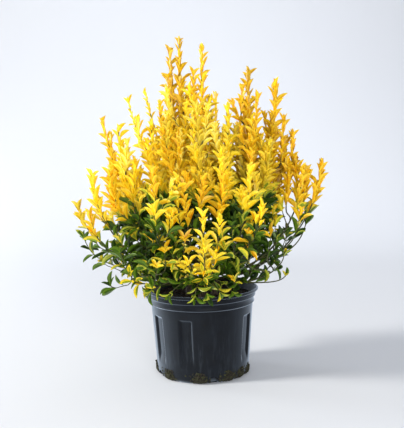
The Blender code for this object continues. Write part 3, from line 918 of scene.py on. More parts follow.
    def side_tip(self, lines: list[list[Path]], index: int, first: float,
                 turn: float) -> tuple[float, float, Vector] | None:
        """Tip of a side shoot, set in the emptiest direction round its leader.

        Args:
            lines: Every mass's lines so far.
            index: Which mass the side shoot belongs to.
            first: Where the leader's leafy part starts.
            turn: Azimuth of the first direction to try.

        Returns:
            The room found, where the side shoot forks, and its tip.
        """
        leader = lines[index][0]
        leafy = leader.length - first
        best = None
        for k in range(self.side_directions):
            degrees = turn + 360.0 * k / self.side_directions
            fork = first + leafy * self.side_fork
            tip = leader.at(first + leafy * self.side_top)[0] + polar(self.side_reach, degrees)
            if Vector((tip.x, tip.y)).length > self.crown_reach:
                continue
            room = min((path.at(path.length * share)[0] - tip).length
                       for group in lines for path in group if path is not leader
                       for share in (0.4, 0.55, 0.7, 0.85, 1.0))
            if best is None or room > best[0]:
                best = (room, fork, tip)
        return best


@dataclass(frozen=True)
class Spray:
    """A leafy spray that stands out from the crown: where its leaves begin, and its tip."""

    foot: tuple[float, float, float]
    tip: tuple[float, float, float]
    kind: str = "front_spray"


@dataclass
class Twiggery:
    """Finer twigs on the boughs and shoots, within the same reach."""

    first_share: float = 0.03
    last_share: float = 0.70
    spacing: float = 24.0
    side_spacing: float = 33.0
    long: float = 122.0
    short: float = 56.0
    spread: float = 27.0
    low_height: float = 235.0
    high_height: float = 400.0
    low_reach_share: float = 0.55
    low_spread_share: float = 1.45
    inner_twigs: int = 5
    inner_reach: float = 58.0
    inner_spread: float = 44.0
    spills: dict[str, tuple[float, ...]] = field(default_factory=lambda: {
        "front_low": (-52.0, -31.0, -8.0, 6.0, 17.0, 28.0)})
    spill_reach: float = 126.0
    spill_height: float = 187.0
    spill_droop: float = 26.0
    spray_drop: float = 14.0
    sprays: tuple[Spray, ...] = (
        Spray((-39, -105, 312), (-44, -122, 408)), Spray((-3, -95, 344), (7, -106, 404)),
        Spray((-24, -108, 318), (-30, -120, 392)),
        Spray((35, -100, 328), (46, -118, 410)), Spray((90, -95, 330), (90, -104, 372)),
        Spray((22, -112, 230), (37, -134, 326)), Spray((92, -105, 248), (94, -120, 302)),
        Spray((-91, -105, 268), (-93, -112, 304)), Spray((-70, -110, 242), (-70, -124, 276)),
        Spray((-34, -112, 268), (-32, -128, 298)),
        Spray((-92, -105, 214), (-87, -118, 244), "olive_spray"),
        Spray((66, -104, 198), (65, -122, 214), "olive_spray"),
        Spray((190, 0, 392), (198, 6, 496), "side_spray"),
        Spray((178, -30, 346), (184, -30, 436), "side_spray"),
        Spray((172, 0, 440), (179, 2, 528), "side_spray"),
        Spray((214, -34, 356), (222, -38, 416), "side_spray"),
        Spray((204, -20, 340), (200, -28, 440), "side_spray"),
        Spray((92, 50, 540), (98, 52, 600), "side_spray"),
        Spray((-6, -34, 560), (-8, -36, 622), "side_spray"),
        Spray((134, -62, 246), (142, -66, 296), "side_spray"),
        Spray((152, -20, 262), (156, -24, 312), "side_spray"),
        Spray((-158, -12, 190), (-194, -4, 188), "low_left"),
        Spray((-178, 0, 222), (-208, 2, 240), "low_left"))
    turn_deg: float = 137.5
    foot_radius: float = 1.3
    tip_radius: float = 0.65
    inset: float = 10.0
    least_reach: float = 70.0
    dip: tuple[float, float] = (18.0, 86.0)
    dip_height: float = 566.0
    bare_feet: dict[str, float] = field(default_factory=lambda: {
        "outer_right": 0.45, "outer_left": 0.3, "skirt_1": 0.55, "far_left": 0.12,
        "brow_2": 0.5, "outer_right_front": 0.4,
        "back_1": 0.2, "back_2": 0.2, "back_3": 0.2})
    thin_masses: dict[str, float] = field(default_factory=lambda: {
        "arching_left": 0.0, "outer_right": 0.6, "outer_left": 0.7, "skirt_1": 0.25,
        "skirt_4": 0.35, "front_low": 0.0, "far_left": 0.7, "outer_right_front": 0.5,
        "back_1": 0.8, "back_2": 0.8, "back_3": 0.8, "high_left_behind": 0.6,
        "far_left_behind": 0.6, "left_front": 0.8, "brow_2": 0.6})

    def twig(self, habit: Habit, parent: Shoot, fork: float, out: Vector,
             reach: float) -> Shoot:
        """Grow one twig that leaves its parent and turns upright.

        Args:
            habit: The shrub's habit, for how a side line bends.
            parent: What it grows on.
            fork: Where it leaves its parent.
            out: How far its tip stands to the side.
            reach: How far its tip stands up.

        Returns:
            The twig.
        """
        point, heading, _ = parent.path.at(fork)
        along = heading.lerp(Vector((0.0, 0.0, 1.0)), 0.45).normalized()
        tip = point + along * reach + out
        end = parent.path.points[-1]
        limit = max(math.hypot(end.x, end.y) - self.inset, self.least_reach)
        away = math.hypot(tip.x, tip.y)
        if away > limit:
            tip.x *= limit / away
            tip.y *= limit / away
        if self.dip[0] < tip.x < self.dip[1]:
            tip.z = min(tip.z, self.dip_height)
        path = habit.side_path(parent.path, fork, tip)
        return Shoot(path, 6.0, self.foot_radius, self.tip_radius, parent.mass,
                     parent.order + 1)

    def grow(self, habit: Habit, parent: Shoot, dice: random.Random) -> list[Shoot]:
        """Grow twigs along a shoot, longer and closer to it high up.

        Args:
            habit: The shrub's habit, for how a side line bends.
            parent: The shoot that they grow on.
            dice: Seeded draws.

        Returns:
            The new twigs.
        """
        leafy = parent.path.length - parent.start
        spacing = self.spacing if parent.order == 0 else self.side_spacing
        fullness = self.thin_masses.get(parent.mass, 1.0)
        count = int(leafy * (self.last_share - self.first_share) / spacing * fullness)
        turn = dice.uniform(0.0, 360.0)
        twigs = []
        for k in range(count):
            share = self.first_share + (self.last_share - self.first_share) * k / count
            if parent.order == 0 and share < self.bare_feet.get(parent.mass, 0.0):
                continue
            fork = parent.start + leafy * share
            high = smooth_step(self.low_height, self.high_height, parent.path.at(fork)[0].z)
            reach = self.long + (self.short - self.long) * share / self.last_share
            reach *= dice.uniform(0.75, 1.15)
            reach *= self.low_reach_share + (1.0 - self.low_reach_share) * high
            turn += self.turn_deg + dice.uniform(-20.0, 20.0)
            wide = self.low_spread_share + (1.0 - self.low_spread_share) * high
            out = polar(self.spread * wide * dice.uniform(0.7, 1.25), turn)
            twigs.append(self.twig(habit, parent, fork, out, reach))
        return twigs

    def spill(self, parent: Shoot, degrees: float, dice: random.Random) -> Shoot:
        """Grow a low sprig that leans out over the rim.

        Args:
            parent: The shoot that it grows on.
            degrees: Azimuth of its tip.
            dice: Seeded draws.

        Returns:
            The sprig.
        """
        point, heading, _ = parent.path.at(parent.start + 2.0)
        tip = polar(self.spill_reach, degrees, self.spill_height)
        tip += Vector([dice.uniform(-5.0, 5.0) for _ in range(3)])
        out = tip - point
        level = Vector((out.x, out.y, 0.0)) * 0.3 - Vector((0.0, 0.0, self.spill_droop))
        path = Path(bezier(point, point + heading * out.length * 0.3, tip - level, tip, 12))
        return Shoot(path, 10.0, self.foot_radius, self.tip_radius, "rim", parent.order + 1)

    def spray(self, spec: Spray, limbs: list[Path]) -> Shoot:
        """Grow a spray from the nearest limb below it.

        Args:
            spec: Where its leaves begin, its tip and its kind.
            limbs: Middle lines of the boughs and leading shoots.

        Returns:
            The spray, bare up to its foot.
        """
        foot, tip = Vector(spec.foot), Vector(spec.tip)
        spots = [limb.at(limb.length * k / 30.0) for limb in limbs for k in range(1, 24)]
        lower = [spot for spot in spots if spot[0].z < foot.z - self.spray_drop] or spots
        fork, heading, _ = min(lower, key=lambda spot: (spot[0] - foot).length)
        way = (tip - foot).normalized()
        bend = (foot - fork).length * 0.4
        points = bezier(fork, fork + heading * bend, foot - way * bend, foot, 8)
        swing = way * (tip - foot).length * 0.4
        upright = Vector((0.0, 0.0, swing.length * 0.8)) + way * swing.length * 0.2
        points += bezier(foot, foot + swing, tip - upright, tip, 12)[1:]
        path = Path(points)
        return Shoot(path, path.marks[8], self.foot_radius * 1.15, self.tip_radius,
                     spec.kind, 1)

    def fill(self, habit: Habit, bough: Shoot, dice: random.Random) -> list[Shoot]:
        """Grow short leafy twigs on a bough, in the shade inside the crown.

        Args:
            habit: The shrub's habit, for how a side line bends.
            bough: The bough that they grow on.
            dice: Seeded draws.

        Returns:
            The new twigs.
        """
        turn = dice.uniform(0.0, 360.0)
        twigs = []
        for k in range(self.inner_twigs):
            fork = bough.start * (k + 0.9) / self.inner_twigs
            turn += self.turn_deg + dice.uniform(-20.0, 20.0)
            out = polar(self.inner_spread * dice.uniform(0.6, 1.2), turn)
            reach = self.inner_reach * dice.uniform(0.7, 1.3)
            twigs.append(self.twig(habit, bough, fork, out, reach))
        return twigs


@dataclass
class LimbMesh:
    """Tubes of many limbs joined in one mesh."""

    corners: list[np.ndarray] = field(default_factory=list)
    faces: list[list[int]] = field(default_factory=list)
    count: int = 0

    def add(self, path: Path, marks: list[float], radii: list[float], sides: int) -> None:
        """Add a tapering tube with flat caps.

        Args:
            path: Its middle line.
            marks: Distances of its rings.
            radii: Radius at each ring.
            sides: Corners of each ring.
        """
        turns = [math.tau * k / sides for k in range(sides)]
        for mark, radius in zip(marks, radii):
            axes = path.axes(mark)
            ring = [axes @ Vector((radius * math.cos(t), radius * math.sin(t), 0.0))
                    for t in turns]
            self.corners.append(np.array(ring) * MM)
        for k in range(len(marks) - 1):
            low, high = self.count + k * sides, self.count + (k + 1) * sides
            for side in range(sides):
                after = (side + 1) % sides
                self.faces.append([low + side, low + after, high + after, high + side])
        last = self.count + (len(marks) - 1) * sides
        self.faces.append([self.count + side for side in reversed(range(sides))])
        self.faces.append([last + side for side in range(sides)])
        self.count += len(marks) * sides

    def finish(self, name: str) -> bpy.types.Mesh:
        """Join the tubes into one mesh."""
        mesh = bpy.data.meshes.new(name)
        mesh.from_pydata(np.concatenate(self.corners), [], self.faces)
        mesh.update()
        mesh.shade_smooth()
        mesh.set_sharp_from_angle(angle=math.radians(60.0))
        return mesh


@dataclass
class WoodyParts:
    """Main stems and boughs with the relief of their bark."""

    habit: Habit
    stem_sides: int = 20
    bough_sides: int = 12
    stem_step: float = 2.5
    bough_step: float = 4.0
    relief: float = 0.55

    def limb(self, path: Path, marks: list[float], radii: list[float],
             sides: int) -> bmesh.types.BMesh:
        """Extrude a ring from mark to mark, then roughen it along its cracks."""
        shape = bmesh.new()
        frames = [path.axes(mark) for mark in marks]
        made = bmesh.ops.create_circle(shape, cap_ends=True, segments=sides,
                                       radius=radii[0], matrix=frames[0])
        face = made["verts"][0].link_faces[0]
        for index in range(1, len(marks)):
            grown = bmesh.ops.extrude_face_region(shape, geom=[face])["geom"]
            if index > 1:
                bmesh.ops.delete(shape, geom=[face], context="FACES_ONLY")
            face = next(item for item in grown if isinstance(item, bmesh.types.BMFace))
            size = Matrix.Scale(radii[index] / radii[index - 1], 4)
            step = frames[index] @ size @ frames[index - 1].inverted()
            bmesh.ops.transform(shape, matrix=step, verts=face.verts)
        bmesh.ops.recalc_face_normals(shape, faces=shape.faces)
        shape.normal_update()
        for vertex in shape.verts:
            spot = Vector((vertex.co.x * 0.9, vertex.co.y * 0.9, vertex.co.z * 0.16))
            knots = noise.noise(vertex.co * 0.07)
            vertex.co += vertex.normal * self.relief * (noise.noise(spot) + 0.5 * knots)
        return shape

    def join(self, name: str, shapes: list[bmesh.types.BMesh], bark: Bark,
             nodes: list[str]) -> None:
        """Join limbs into one piece."""
        joined = bmesh.new()
        for shape in shapes:
            part = bpy.data.meshes.new("limb")
            shape.to_mesh(part)
            shape.free()
            joined.from_mesh(part)
            bpy.data.meshes.remove(part)
        place_piece(name, mesh_of(name, joined, 60.0), [bark.make()], nodes)

    def build(self, masses: dict[str, Path], tops: set[str]) -> None:
        """Build the stems and boughs in the place of their nodes."""
        habit = self.habit
        shapes = []
        for stem in habit.stem_degrees:
            foot = habit.soil_top - 3.0
            count = int((habit.stem_top - foot) / self.stem_step)
            levels = [foot + (habit.stem_top - foot) * k / count for k in range(count + 1)]
            path = Path([habit.stem_place(stem, level) for level in levels])
            radii = [habit.stem_width(max(level, habit.soil_top)) for level in levels]
            shapes.append(self.limb(path, path.marks, radii, self.stem_sides))
        self.join("stems", shapes, Bark("grey_brown_bark", "#6d5f4a", "#33291d", 2.4),
                  [f"stem_{stem}" for stem in habit.stem_degrees])
        shapes = []
        for name, path in masses.items():
            length = path.length * habit.bough_share
            first = habit.stem_tip_radius - 0.2 if name in tops else habit.bough_radius
            count = int(length / self.bough_step)
            marks = [length * k / count for k in range(count + 1)]
            radii = [first + (habit.bough_tip_radius - first) * k / count
                     for k in range(count + 1)]
            shapes.append(self.limb(path, marks, radii, self.bough_sides))
        self.join("boughs", shapes, Bark("olive_young_bark", "#58522a", "#2c2b15", 2.0),
                  [f"bough_{name}" for name in masses])


@dataclass(frozen=True)
class LeafForm:
    """A leaf's outline and set, one unit long: elliptic, pointed, folded at its midrib."""

    fold_deg: float
    arch: float
    twist_deg: float
    heart_share: float
    base_power: float = 0.9
    tip_power: float = 0.85
    stalk_share: float = 0.07

    def outline(self, share: float) -> float:
        """Half width at a share of the length, from 0 to 1 at its widest."""
        blade = (share - self.stalk_share) / (1.0 - self.stalk_share)
        if blade <= 0.0:
            return 0.07
        if blade >= 1.0:
            return 0.015
        widest = self.base_power / (self.base_power + self.tip_power)
        peak = widest ** self.base_power * (1.0 - widest) ** self.tip_power
        width = blade ** self.base_power * (1.0 - blade) ** self.tip_power / peak
        return max(0.07, width)

    def arrays(self) -> tuple[np.ndarray, np.ndarray, np.ndarray]:
        """Corners, four-sided faces, and which faces are the leaf's heart."""
        shape = bmesh.new()
        bmesh.ops.create_grid(shape, x_segments=4, y_segments=8, size=1.0)
        shape.verts.ensure_lookup_table()
        fold = math.radians(self.fold_deg)
        columns = {-1.0: -1.0, -0.5: -self.heart_share, 0.0: 0.0,
                   0.5: self.heart_share, 1.0: 1.0}
        for vertex in shape.verts:
            column = columns[round(vertex.co.x * 2.0) / 2.0]
            share = (vertex.co.y + 1.0) / 2.0
            share = share ** 0.85
            half = self.outline(share) / 2.0
            turn = math.radians(self.twist_deg) * share
            across = column * half * math.cos(fold)
            lift = abs(column) * half * math.sin(fold)
            droop = -self.arch * share * share
            vertex.co = (across * math.cos(turn) - lift * math.sin(turn),
                         share - 0.25 * self.arch * self.arch * share ** 3,
                         across * math.sin(turn) + lift * math.cos(turn) + droop)
        corners = np.array([vertex.co for vertex in shape.verts])
        faces = []
        hearts = []
        for face in shape.faces:
            faces.append([vertex.index for vertex in face.verts])
            middle = face.calc_center_median()
            row = min(vertex.index // 5 for vertex in face.verts)
            column = min(vertex.index % 5 for vertex in face.verts)
            hearts.append(column in (1, 2) and 1 <= row <= 5 and middle.y < 0.93)
        shape.free()
        return corners, np.array(faces), np.array(hearts)


@dataclass
class Leaf:
    """Where one leaf stands: its root, its axes and its size."""

    root: Vector
    along: Vector
    across: Vector
    length: float
    width: float


@dataclass
class Foliage:
    """Opposite pairs of leaves on every shoot, golden above and green in the shade below."""

    habit: Habit
    pot: NurseryPot
    low_height: float = 235.0
    high_height: float = 370.0
    size_low_height: float = 320.0
    size_high_height: float = 560.0
    step_low: float = 19.0
    step_high: float = 9.0
    jitter_deg: float = 18.0
    length_low: float = 37.5
    length_high: float = 28.5
    tip_shrink: float = 0.16
    width_low: float = 0.315
    width_high: float = 0.285
    open_low_deg: float = 58.0
    open_high_deg: float = 34.0
    tip_close: float = 0.40
    bud_sizes: tuple[float, ...] = (0.74, 0.52, 0.34)
    bud_low_deg: tuple[float, ...] = (52.0, 36.0, 16.0)
    bud_high_deg: tuple[float, ...] = (18.0, 11.0, 6.0)
    deep_gold_low: float = 560.0
    deep_gold_high: float = 630.0
    gold_height: float = 316.0
    inner_lag: float = 52.0
    gold_blend: float = 42.0
    tip_gold_low: float = 236.0
    tip_gold_high: float = 328.0
    shade_floor: float = -1.0
    outer_floor: float = -0.28
    depth_weight: float = 1.6
    low_edge: float = 172.0
    low_edge_start: float = 85.0
    low_edge_rise: float = 0.62
    rim_edge: float = 150.0
    bare_chance: float = 0.40
    sparse: dict[str, tuple[float, float, float]] = field(default_factory=lambda: {
        "arching_left": (0.26, 0.72, 0.85), "outer_right": (0.0, 0.66, 0.84),
        "outer_right_front": (0.0, 0.62, 0.84), "skirt_1": (0.0, 0.6, 0.5),
        "back_3": (0.0, 0.4, 0.6), "skirt_3": (0.0, 0.4, 0.5)})
    straight_forms: int = 3
    forms: tuple[LeafForm, ...] = (
        LeafForm(26.0, 0.05, 0.0, 0.55), LeafForm(32.0, 0.13, 7.0, 0.42),
        LeafForm(20.0, -0.03, -8.0, 0.62), LeafForm(30.0, 0.07, 0.0, 0.5),
        LeafForm(18.0, 0.19, 12.0, 0.6), LeafForm(24.0, 0.13, -8.0, 0.35))
    # The entries for the right side (side_spray, outer_right, outer_right_front, mid_right,
    # high_right) lean to deeper ambers and old golds as painted shade on the side away from the
    # key light; the others are the shoots' own golds.
    shades: dict[str, tuple[Tone, ...]] = field(default_factory=lambda: {
        "front_low": (Tone.LEMON, Tone.BRIGHT_GOLD), "brow_2": (Tone.BRIGHT_GOLD,),
        "front_spray": (Tone.GOLD, Tone.AMBER, Tone.BRIGHT_GOLD),
        "side_spray": (Tone.AMBER, Tone.GOLD, Tone.AMBER), "outer_right": (Tone.AMBER,),
        "outer_right_front": (Tone.AMBER, Tone.OLD_GOLD),
        "mid_right": (Tone.AMBER, Tone.GOLD, Tone.OLD_GOLD),
        "high_right": (Tone.AMBER, Tone.DEEP_GOLD)})
    lifts: dict[str, float] = field(default_factory=lambda: {
        "front_low": 140.0, "brow_2": 78.0, "front_spray": 72.0, "olive_spray": 88.0,
        "brow_1": -42.0, "left_front": -6.0, "brow_3": -14.0, "far_left": 6.0,
        "outer_right": -30.0, "outer_right_front": -34.0, "low_left": -60.0,
        "mid_right": -16.0, "skirt_4": -30.0, "arching_left": -16.0, "rim": -12.0})
    slender: dict[str, float] = field(default_factory=lambda: {
        "high_left_behind": 0.7, "far_left_behind": 0.72, "arching_left": 1.0,
        "left_front": 0.9, "high_right": 1.3,
        "high_right_behind": 1.26, "tall_left": 1.1, "tall_behind": 1.08,
        "tall_middle": 1.15})
    small_leaved: dict[str, float] = field(default_factory=lambda: {
        "brow_2": 0.74, "front_low": 0.76, "front_spray": 0.94, "rim": 0.92})
    astray_chance: float = 0.07
    astray_deg: float = 30.0
    mood_spread: float = 0.24
    moods: dict[int, float] = field(default_factory=dict)
    leaves: dict[tuple[Tone, int], list[Leaf]] = field(default_factory=dict)

    def is_clear(self, place: Vector, mass: str) -> bool:
        """Whether a place is clear of the pot's rim and what fills it."""
        aside = max(0.0, place.x - self.low_edge_start)
        lowest = self.rim_edge if mass == "rim" else self.low_edge
        if place.z < lowest + self.low_edge_rise * aside:
            return False
        away = math.hypot(place.x, place.y)
        return place.z > self.pot.height + 3.0 or away > self.pot.rim_radius + 4.0

    def exposure(self, place: Vector) -> float:
        """Share from 0 inside the crown to 1 near its outside, at a place's height."""
        reach = self.habit.crown_reach
        edge = reach * min(1.0, 0.62 + (place.z - self.pot.height) / 260.0)
        edge *= 1.0 - 0.72 * smooth_step(430.0, 720.0, place.z)
        return smooth_step(0.35, 0.85, math.hypot(place.x, place.y * self.depth_weight) / edge)

    def tone(self, shoot: Shoot, share: float, place: Vector, gold: Tone,
             dice: random.Random) -> Tone:
        """Colouring of a leaf, from its height, its age and its shoot.

        Args:
            shoot: The shoot that it grows on.
            share: How far along the shoot it stands.
            place: Its root.
            gold: The shoot's shade of gold, on the crown's right side partly painted shade.
            dice: Seeded draws.

        Returns:
            The leaf's tone.
        """
        height = place.z + self.lifts.get(shoot.mass, 0.0)
        outside = self.exposure(place)
        light = (height - self.gold_height - self.inner_lag * (1.0 - outside))
        least = self.shade_floor + (self.outer_floor - self.shade_floor) * outside
        base = min(max(light / self.gold_blend, least), 1.0)
        tip = smooth_step(0.4, 0.9, share) * outside
        tip *= smooth_step(self.tip_gold_low, self.tip_gold_high, height)
        gold_now = base + (1.0 - base) * tip + self.moods[id(shoot)] + dice.gauss(0.0, 0.12)
        if gold_now > 0.42:
            return gold
        if gold_now > 0.25:
            return Tone.LIME if dice.random() < 0.4 else gold
        if gold_now > 0.06:
            return Tone.HEARTED
        if gold_now > -0.35:
            return Tone.EDGED if dice.random() < 0.34 else Tone.GREEN
        # The innermost, lowest leaves take the darkest green, partly as painted shade.
        return Tone.GREEN if dice.random() < 0.3 else Tone.DARK

    def is_bare(self, shoot: Shoot, share: float, high: float, dice: random.Random) -> bool:
        """Whether a leaf has dropped from this stretch of its shoot."""
        chance = self.bare_chance * (1.0 - high) * (1.0 - share) ** 2
        low, top, sparse = self.sparse.get(shoot.mass, (0.0, 0.0, 0.0))
        if low < share < top:
            chance = max(chance, sparse)
        return dice.random() < chance

    def dress(self, shoot: Shoot, dice: random.Random) -> None:
        """Set pairs of leaves along a shoot, each pair across the last, and its tip's leaves."""
        reach = shoot.path.length - shoot.start
        mark = shoot.start + dice.uniform(2.0, 8.0)
        turn = dice.uniform(0.0, 360.0)
        height = shoot.path.points[-1].z
        # Shoots that reach high lean to the deepest gold, partly their own colour and partly
        # painted shade on the crown's more brightly lit top.
        share = smooth_step(self.deep_gold_low, self.deep_gold_high, height)
        weights = [low + (high - low) * share
                   for low, high in zip(LOW_GOLD_WEIGHTS, HIGH_GOLD_WEIGHTS)]
        gold = dice.choices(GOLDS, weights)[0]
        # A mass's listed golds override the draw; on the right side they are deeper as painted
        # shade.
        if shoot.mass in self.shades:
            gold = dice.choice(self.shades[shoot.mass])
        self.moods[id(shoot)] = dice.gauss(0.0, self.mood_spread)
        vigour = (1.0 if shoot.order < 2 else 0.9) * self.small_leaved.get(shoot.mass, 1.0)
        if shoot.order == 0:
            vigour *= self.slender.get(shoot.mass, 1.0)
        while mark < shoot.path.length - 2.0:
            share = (mark - shoot.start) / reach
            high = self.highness(shoot.path.at(mark)[0])
            opening = self.open_low_deg + (self.open_high_deg - self.open_low_deg) * high
            opening *= (1.0 - self.tip_close * share * high) * min(1.0, 0.2 + vigour)
            size = vigour * (1.0 - self.tip_shrink * share)
            self.pair(shoot, mark, turn, share, size, gold, dice, opening)
            turn += 90.0 + dice.uniform(-self.jitter_deg, self.jitter_deg)
            step = self.step_low + (self.step_high - self.step_low) * high
            mark += step * dice.uniform(0.66, 1.42) * (0.6 + 0.4 * min(vigour, 1.0))
        high = self.highness(shoot.path.points[-1])
        for k, size in enumerate(self.bud_sizes):
            mark = min(shoot.path.length - 2.0 + 0.6 * k, shoot.path.length)
            opening = (self.bud_low_deg[k]
                       + (self.bud_high_deg[k] - self.bud_low_deg[k]) * high)
            self.pair(shoot, mark, turn + 90.0 * k, 1.0, size, gold, dice, opening)

    def highness(self, place: Vector) -> float:
        """Share from 0 low in the crown to 1 in its golden part."""
        return smooth_step(self.low_height, self.high_height, place.z)

    def pair(self, shoot: Shoot, mark: float, turn: float, share: float, vigour: float,
             gold: Tone, dice: random.Random, opening: float) -> None:
        """Add the two leaves of a pair where there is room for them.

        Args:
            shoot: The shoot that they grow on.
            mark: Distance along it.
            turn: Angle of the pair round it, in degrees.
            share: How far along the shoot they stand.
            vigour: Scale of their size.
            gold: The shoot's shade of gold, on the crown's right side partly painted shade.
            dice: Seeded draws.
            opening: Angle from the shoot, in degrees.
        """
        point, heading, side = shoot.path.at(mark)
        radius = shoot.foot_radius + (shoot.tip_radius - shoot.foot_radius) * share
        high = self.highness(point)
        top = smooth_step(self.size_low_height, self.size_high_height, point.z)
        length = self.length_low + (self.length_high - self.length_low) * top
        width_share = self.width_low + (self.width_high - self.width_low) * high
        for half in (0.0, 180.0):
            if self.is_bare(shoot, share, high, dice):
                continue
            round_turn = math.radians(turn + half)
            away = side * math.cos(round_turn) + heading.cross(side) * math.sin(round_turn)
            astray = self.astray_deg if dice.random() < self.astray_chance else 0.0
            angle = math.radians(opening + astray + dice.gauss(0.0, 9.0))
            along = heading * math.cos(angle) + away * math.sin(angle)
            across = heading.cross(away).normalized()
            size = length * vigour * dice.uniform(0.74, 1.2)
            root = point + away * radius * 0.5
            tip = root + along * size
            if not self.is_clear(tip, shoot.mass) or not self.in_reach(tip):
                continue
            tone = self.tone(shoot, share, root, gold, dice)
            width = size * width_share * dice.uniform(0.88, 1.14)
            choice = self.straight_forms if dice.random() < high else len(self.forms)
            spot = Leaf(root, along, across, size, width)
            self.leaves.setdefault((tone, dice.randrange(choice)), []).append(spot)

    def in_reach(self, tip: Vector) -> bool:
        """Whether a leaf's tip stays within the crown's box."""
        low, high = CAD_BOX
        slack = 3.0
        return all(low[k] / MM - slack < tip[k] < high[k] / MM + slack for k in range(3))

    def build(self, nodes: list[str]) -> None:
        """Join the leaves into one piece for each tone."""
        arrays = [form.arrays() for form in self.forms]
        for tone in Tone:
            corners = []
            faces = []
            hearts = []
            count = 0
            for form, (shape, quads, heart) in enumerate(arrays):
                spots = self.leaves.get((tone, form), [])
                if not spots:
                    continue
                roots = np.array([spot.root for spot in spots])
                along = np.array([spot.along * spot.length for spot in spots])
                across = np.array([spot.across * spot.width for spot in spots])
                upper = np.array([spot.along.cross(spot.across).normalized() * spot.length
                                  for spot in spots])
                placed = (roots[:, None] + across[:, None] * shape[None, :, 0:1]
                          + along[:, None] * shape[None, :, 1:2]
                          + upper[:, None] * shape[None, :, 2:3])
                corners.append(placed.reshape(-1, 3) * MM)
                offsets = count + np.arange(len(spots)) * len(shape)
                faces.append((quads[None] + offsets[:, None, None]).reshape(-1, 4))
                hearts.append(np.tile(heart, len(spots)))
                count += len(spots) * len(shape)
            if not corners:
                continue
            mesh = bpy.data.meshes.new(f"leaves_{tone.label}")
            mesh.from_pydata(np.concatenate(corners), [], np.concatenate(faces).tolist())
            mesh.polygons.foreach_set("material_index", np.concatenate(hearts).astype(np.int32))
            mesh.update()
            mesh.shade_smooth()
            mesh.set_sharp_from_angle(angle=math.radians(28.0))
            margin, inner = tone.value
            finishes = [LeafCuticle(f"{tone.label}_leaf_margin", margin).make(),
                        LeafCuticle(f"{tone.label}_leaf_heart", inner).make()]
            place_piece(mesh.name, mesh, finishes, nodes)


@dataclass
class Shrub:
    """The whole plant: stems, boughs, shoots, twigs and leaves."""

    habit: Habit
    pot: NurseryPot
    twiggery: Twiggery = field(default_factory=Twiggery)
    shoots: list[Shoot] = field(default_factory=list)
    masses: dict[str, Path] = field(default_factory=dict)
    tops: set[str] = field(default_factory=set)

    def grow(self) -> None:
        """Work out every line of the plant, coarse to fine."""
        habit = self.habit
        for stem, tips in habit.ordered().items():
            for place, (name, tip) in enumerate(tips):
                self.masses[name] = habit.limb_path(name, stem, place, len(tips), tip)
                if place == len(tips) - 1:
                    self.tops.add(name)
        lines = [[path] for path in self.masses.values()]
        for index, (name, path) in enumerate(self.masses.items()):
            first = path.length * habit.bough_share + habit.gap + 0.1
            leader = Shoot(path, first, habit.shoot_radius, habit.shoot_tip_radius, name, 0)
            self.shoots.append(leader)
            found = habit.side_tip(lines, index, first, habit.golden_deg * index)
            if found:
                side = habit.side_path(path, found[1], found[2])
                lines[index].append(side)
                self.shoots.append(Shoot(side, 4.0, habit.shoot_radius * 0.8,
                                         habit.shoot_tip_radius, name, 1))
        dice = random.Random(SEED)
        for shoot in list(self.shoots):
            self.shoots += self.twiggery.grow(habit, shoot, dice)
            if shoot.order == 0:
                self.shoots += self.twiggery.fill(habit, shoot, dice)
                self.shoots += [self.twiggery.spill(shoot, degrees, dice)
                                for degrees in self.twiggery.spills.get(shoot.mass, ())]
        limbs = list(self.masses.values())
        self.shoots += [self.twiggery.spray(spec, limbs) for spec in self.twiggery.sprays]

    def build_twigs(self, nodes: list[str]) -> None:
        """Build every shoot's twig as one piece, a little thicker at every other ring."""
        tubes = LimbMesh()
        for shoot in self.shoots:
            path, first = shoot.path, shoot.start if shoot.order == 0 else 0.0
            count = max(4, int((path.length - first) / 7.0))
            marks = [first + (path.length - first) * k / count for k in range(count + 1)]
            radii = [shoot.foot_radius + (shoot.tip_radius - shoot.foot_radius) * k / count
                     + 0.12 * (k % 2) for k in range(count + 1)]
            tubes.add(path, marks, radii, 6 if shoot.order < 2 else 5)
        bark = Bark("green_twig_skin", "#585a2a", "#2c3016", 3.0, 0.55)
        place_piece("twigs", tubes.finish("twigs"), [bark.make()], nodes)

    def build(self) -> None:
        """Grow and build the plant in the place of its nodes."""
        self.grow()
        names = list(self.masses)
        WoodyParts(self.habit).build(self.masses, self.tops)
        self.build_twigs(names)
        foliage = Foliage(self.habit, self.pot)
        for index, shoot in enumerate(self.shoots):
            foliage.dress(shoot, random.Random(SEED + 100 + index))
        total = sum(len(spots) for spots in foliage.leaves.values())
        LOG.info("%d shoots, %d leaves", len(self.shoots), total)
        foliage.build(names)


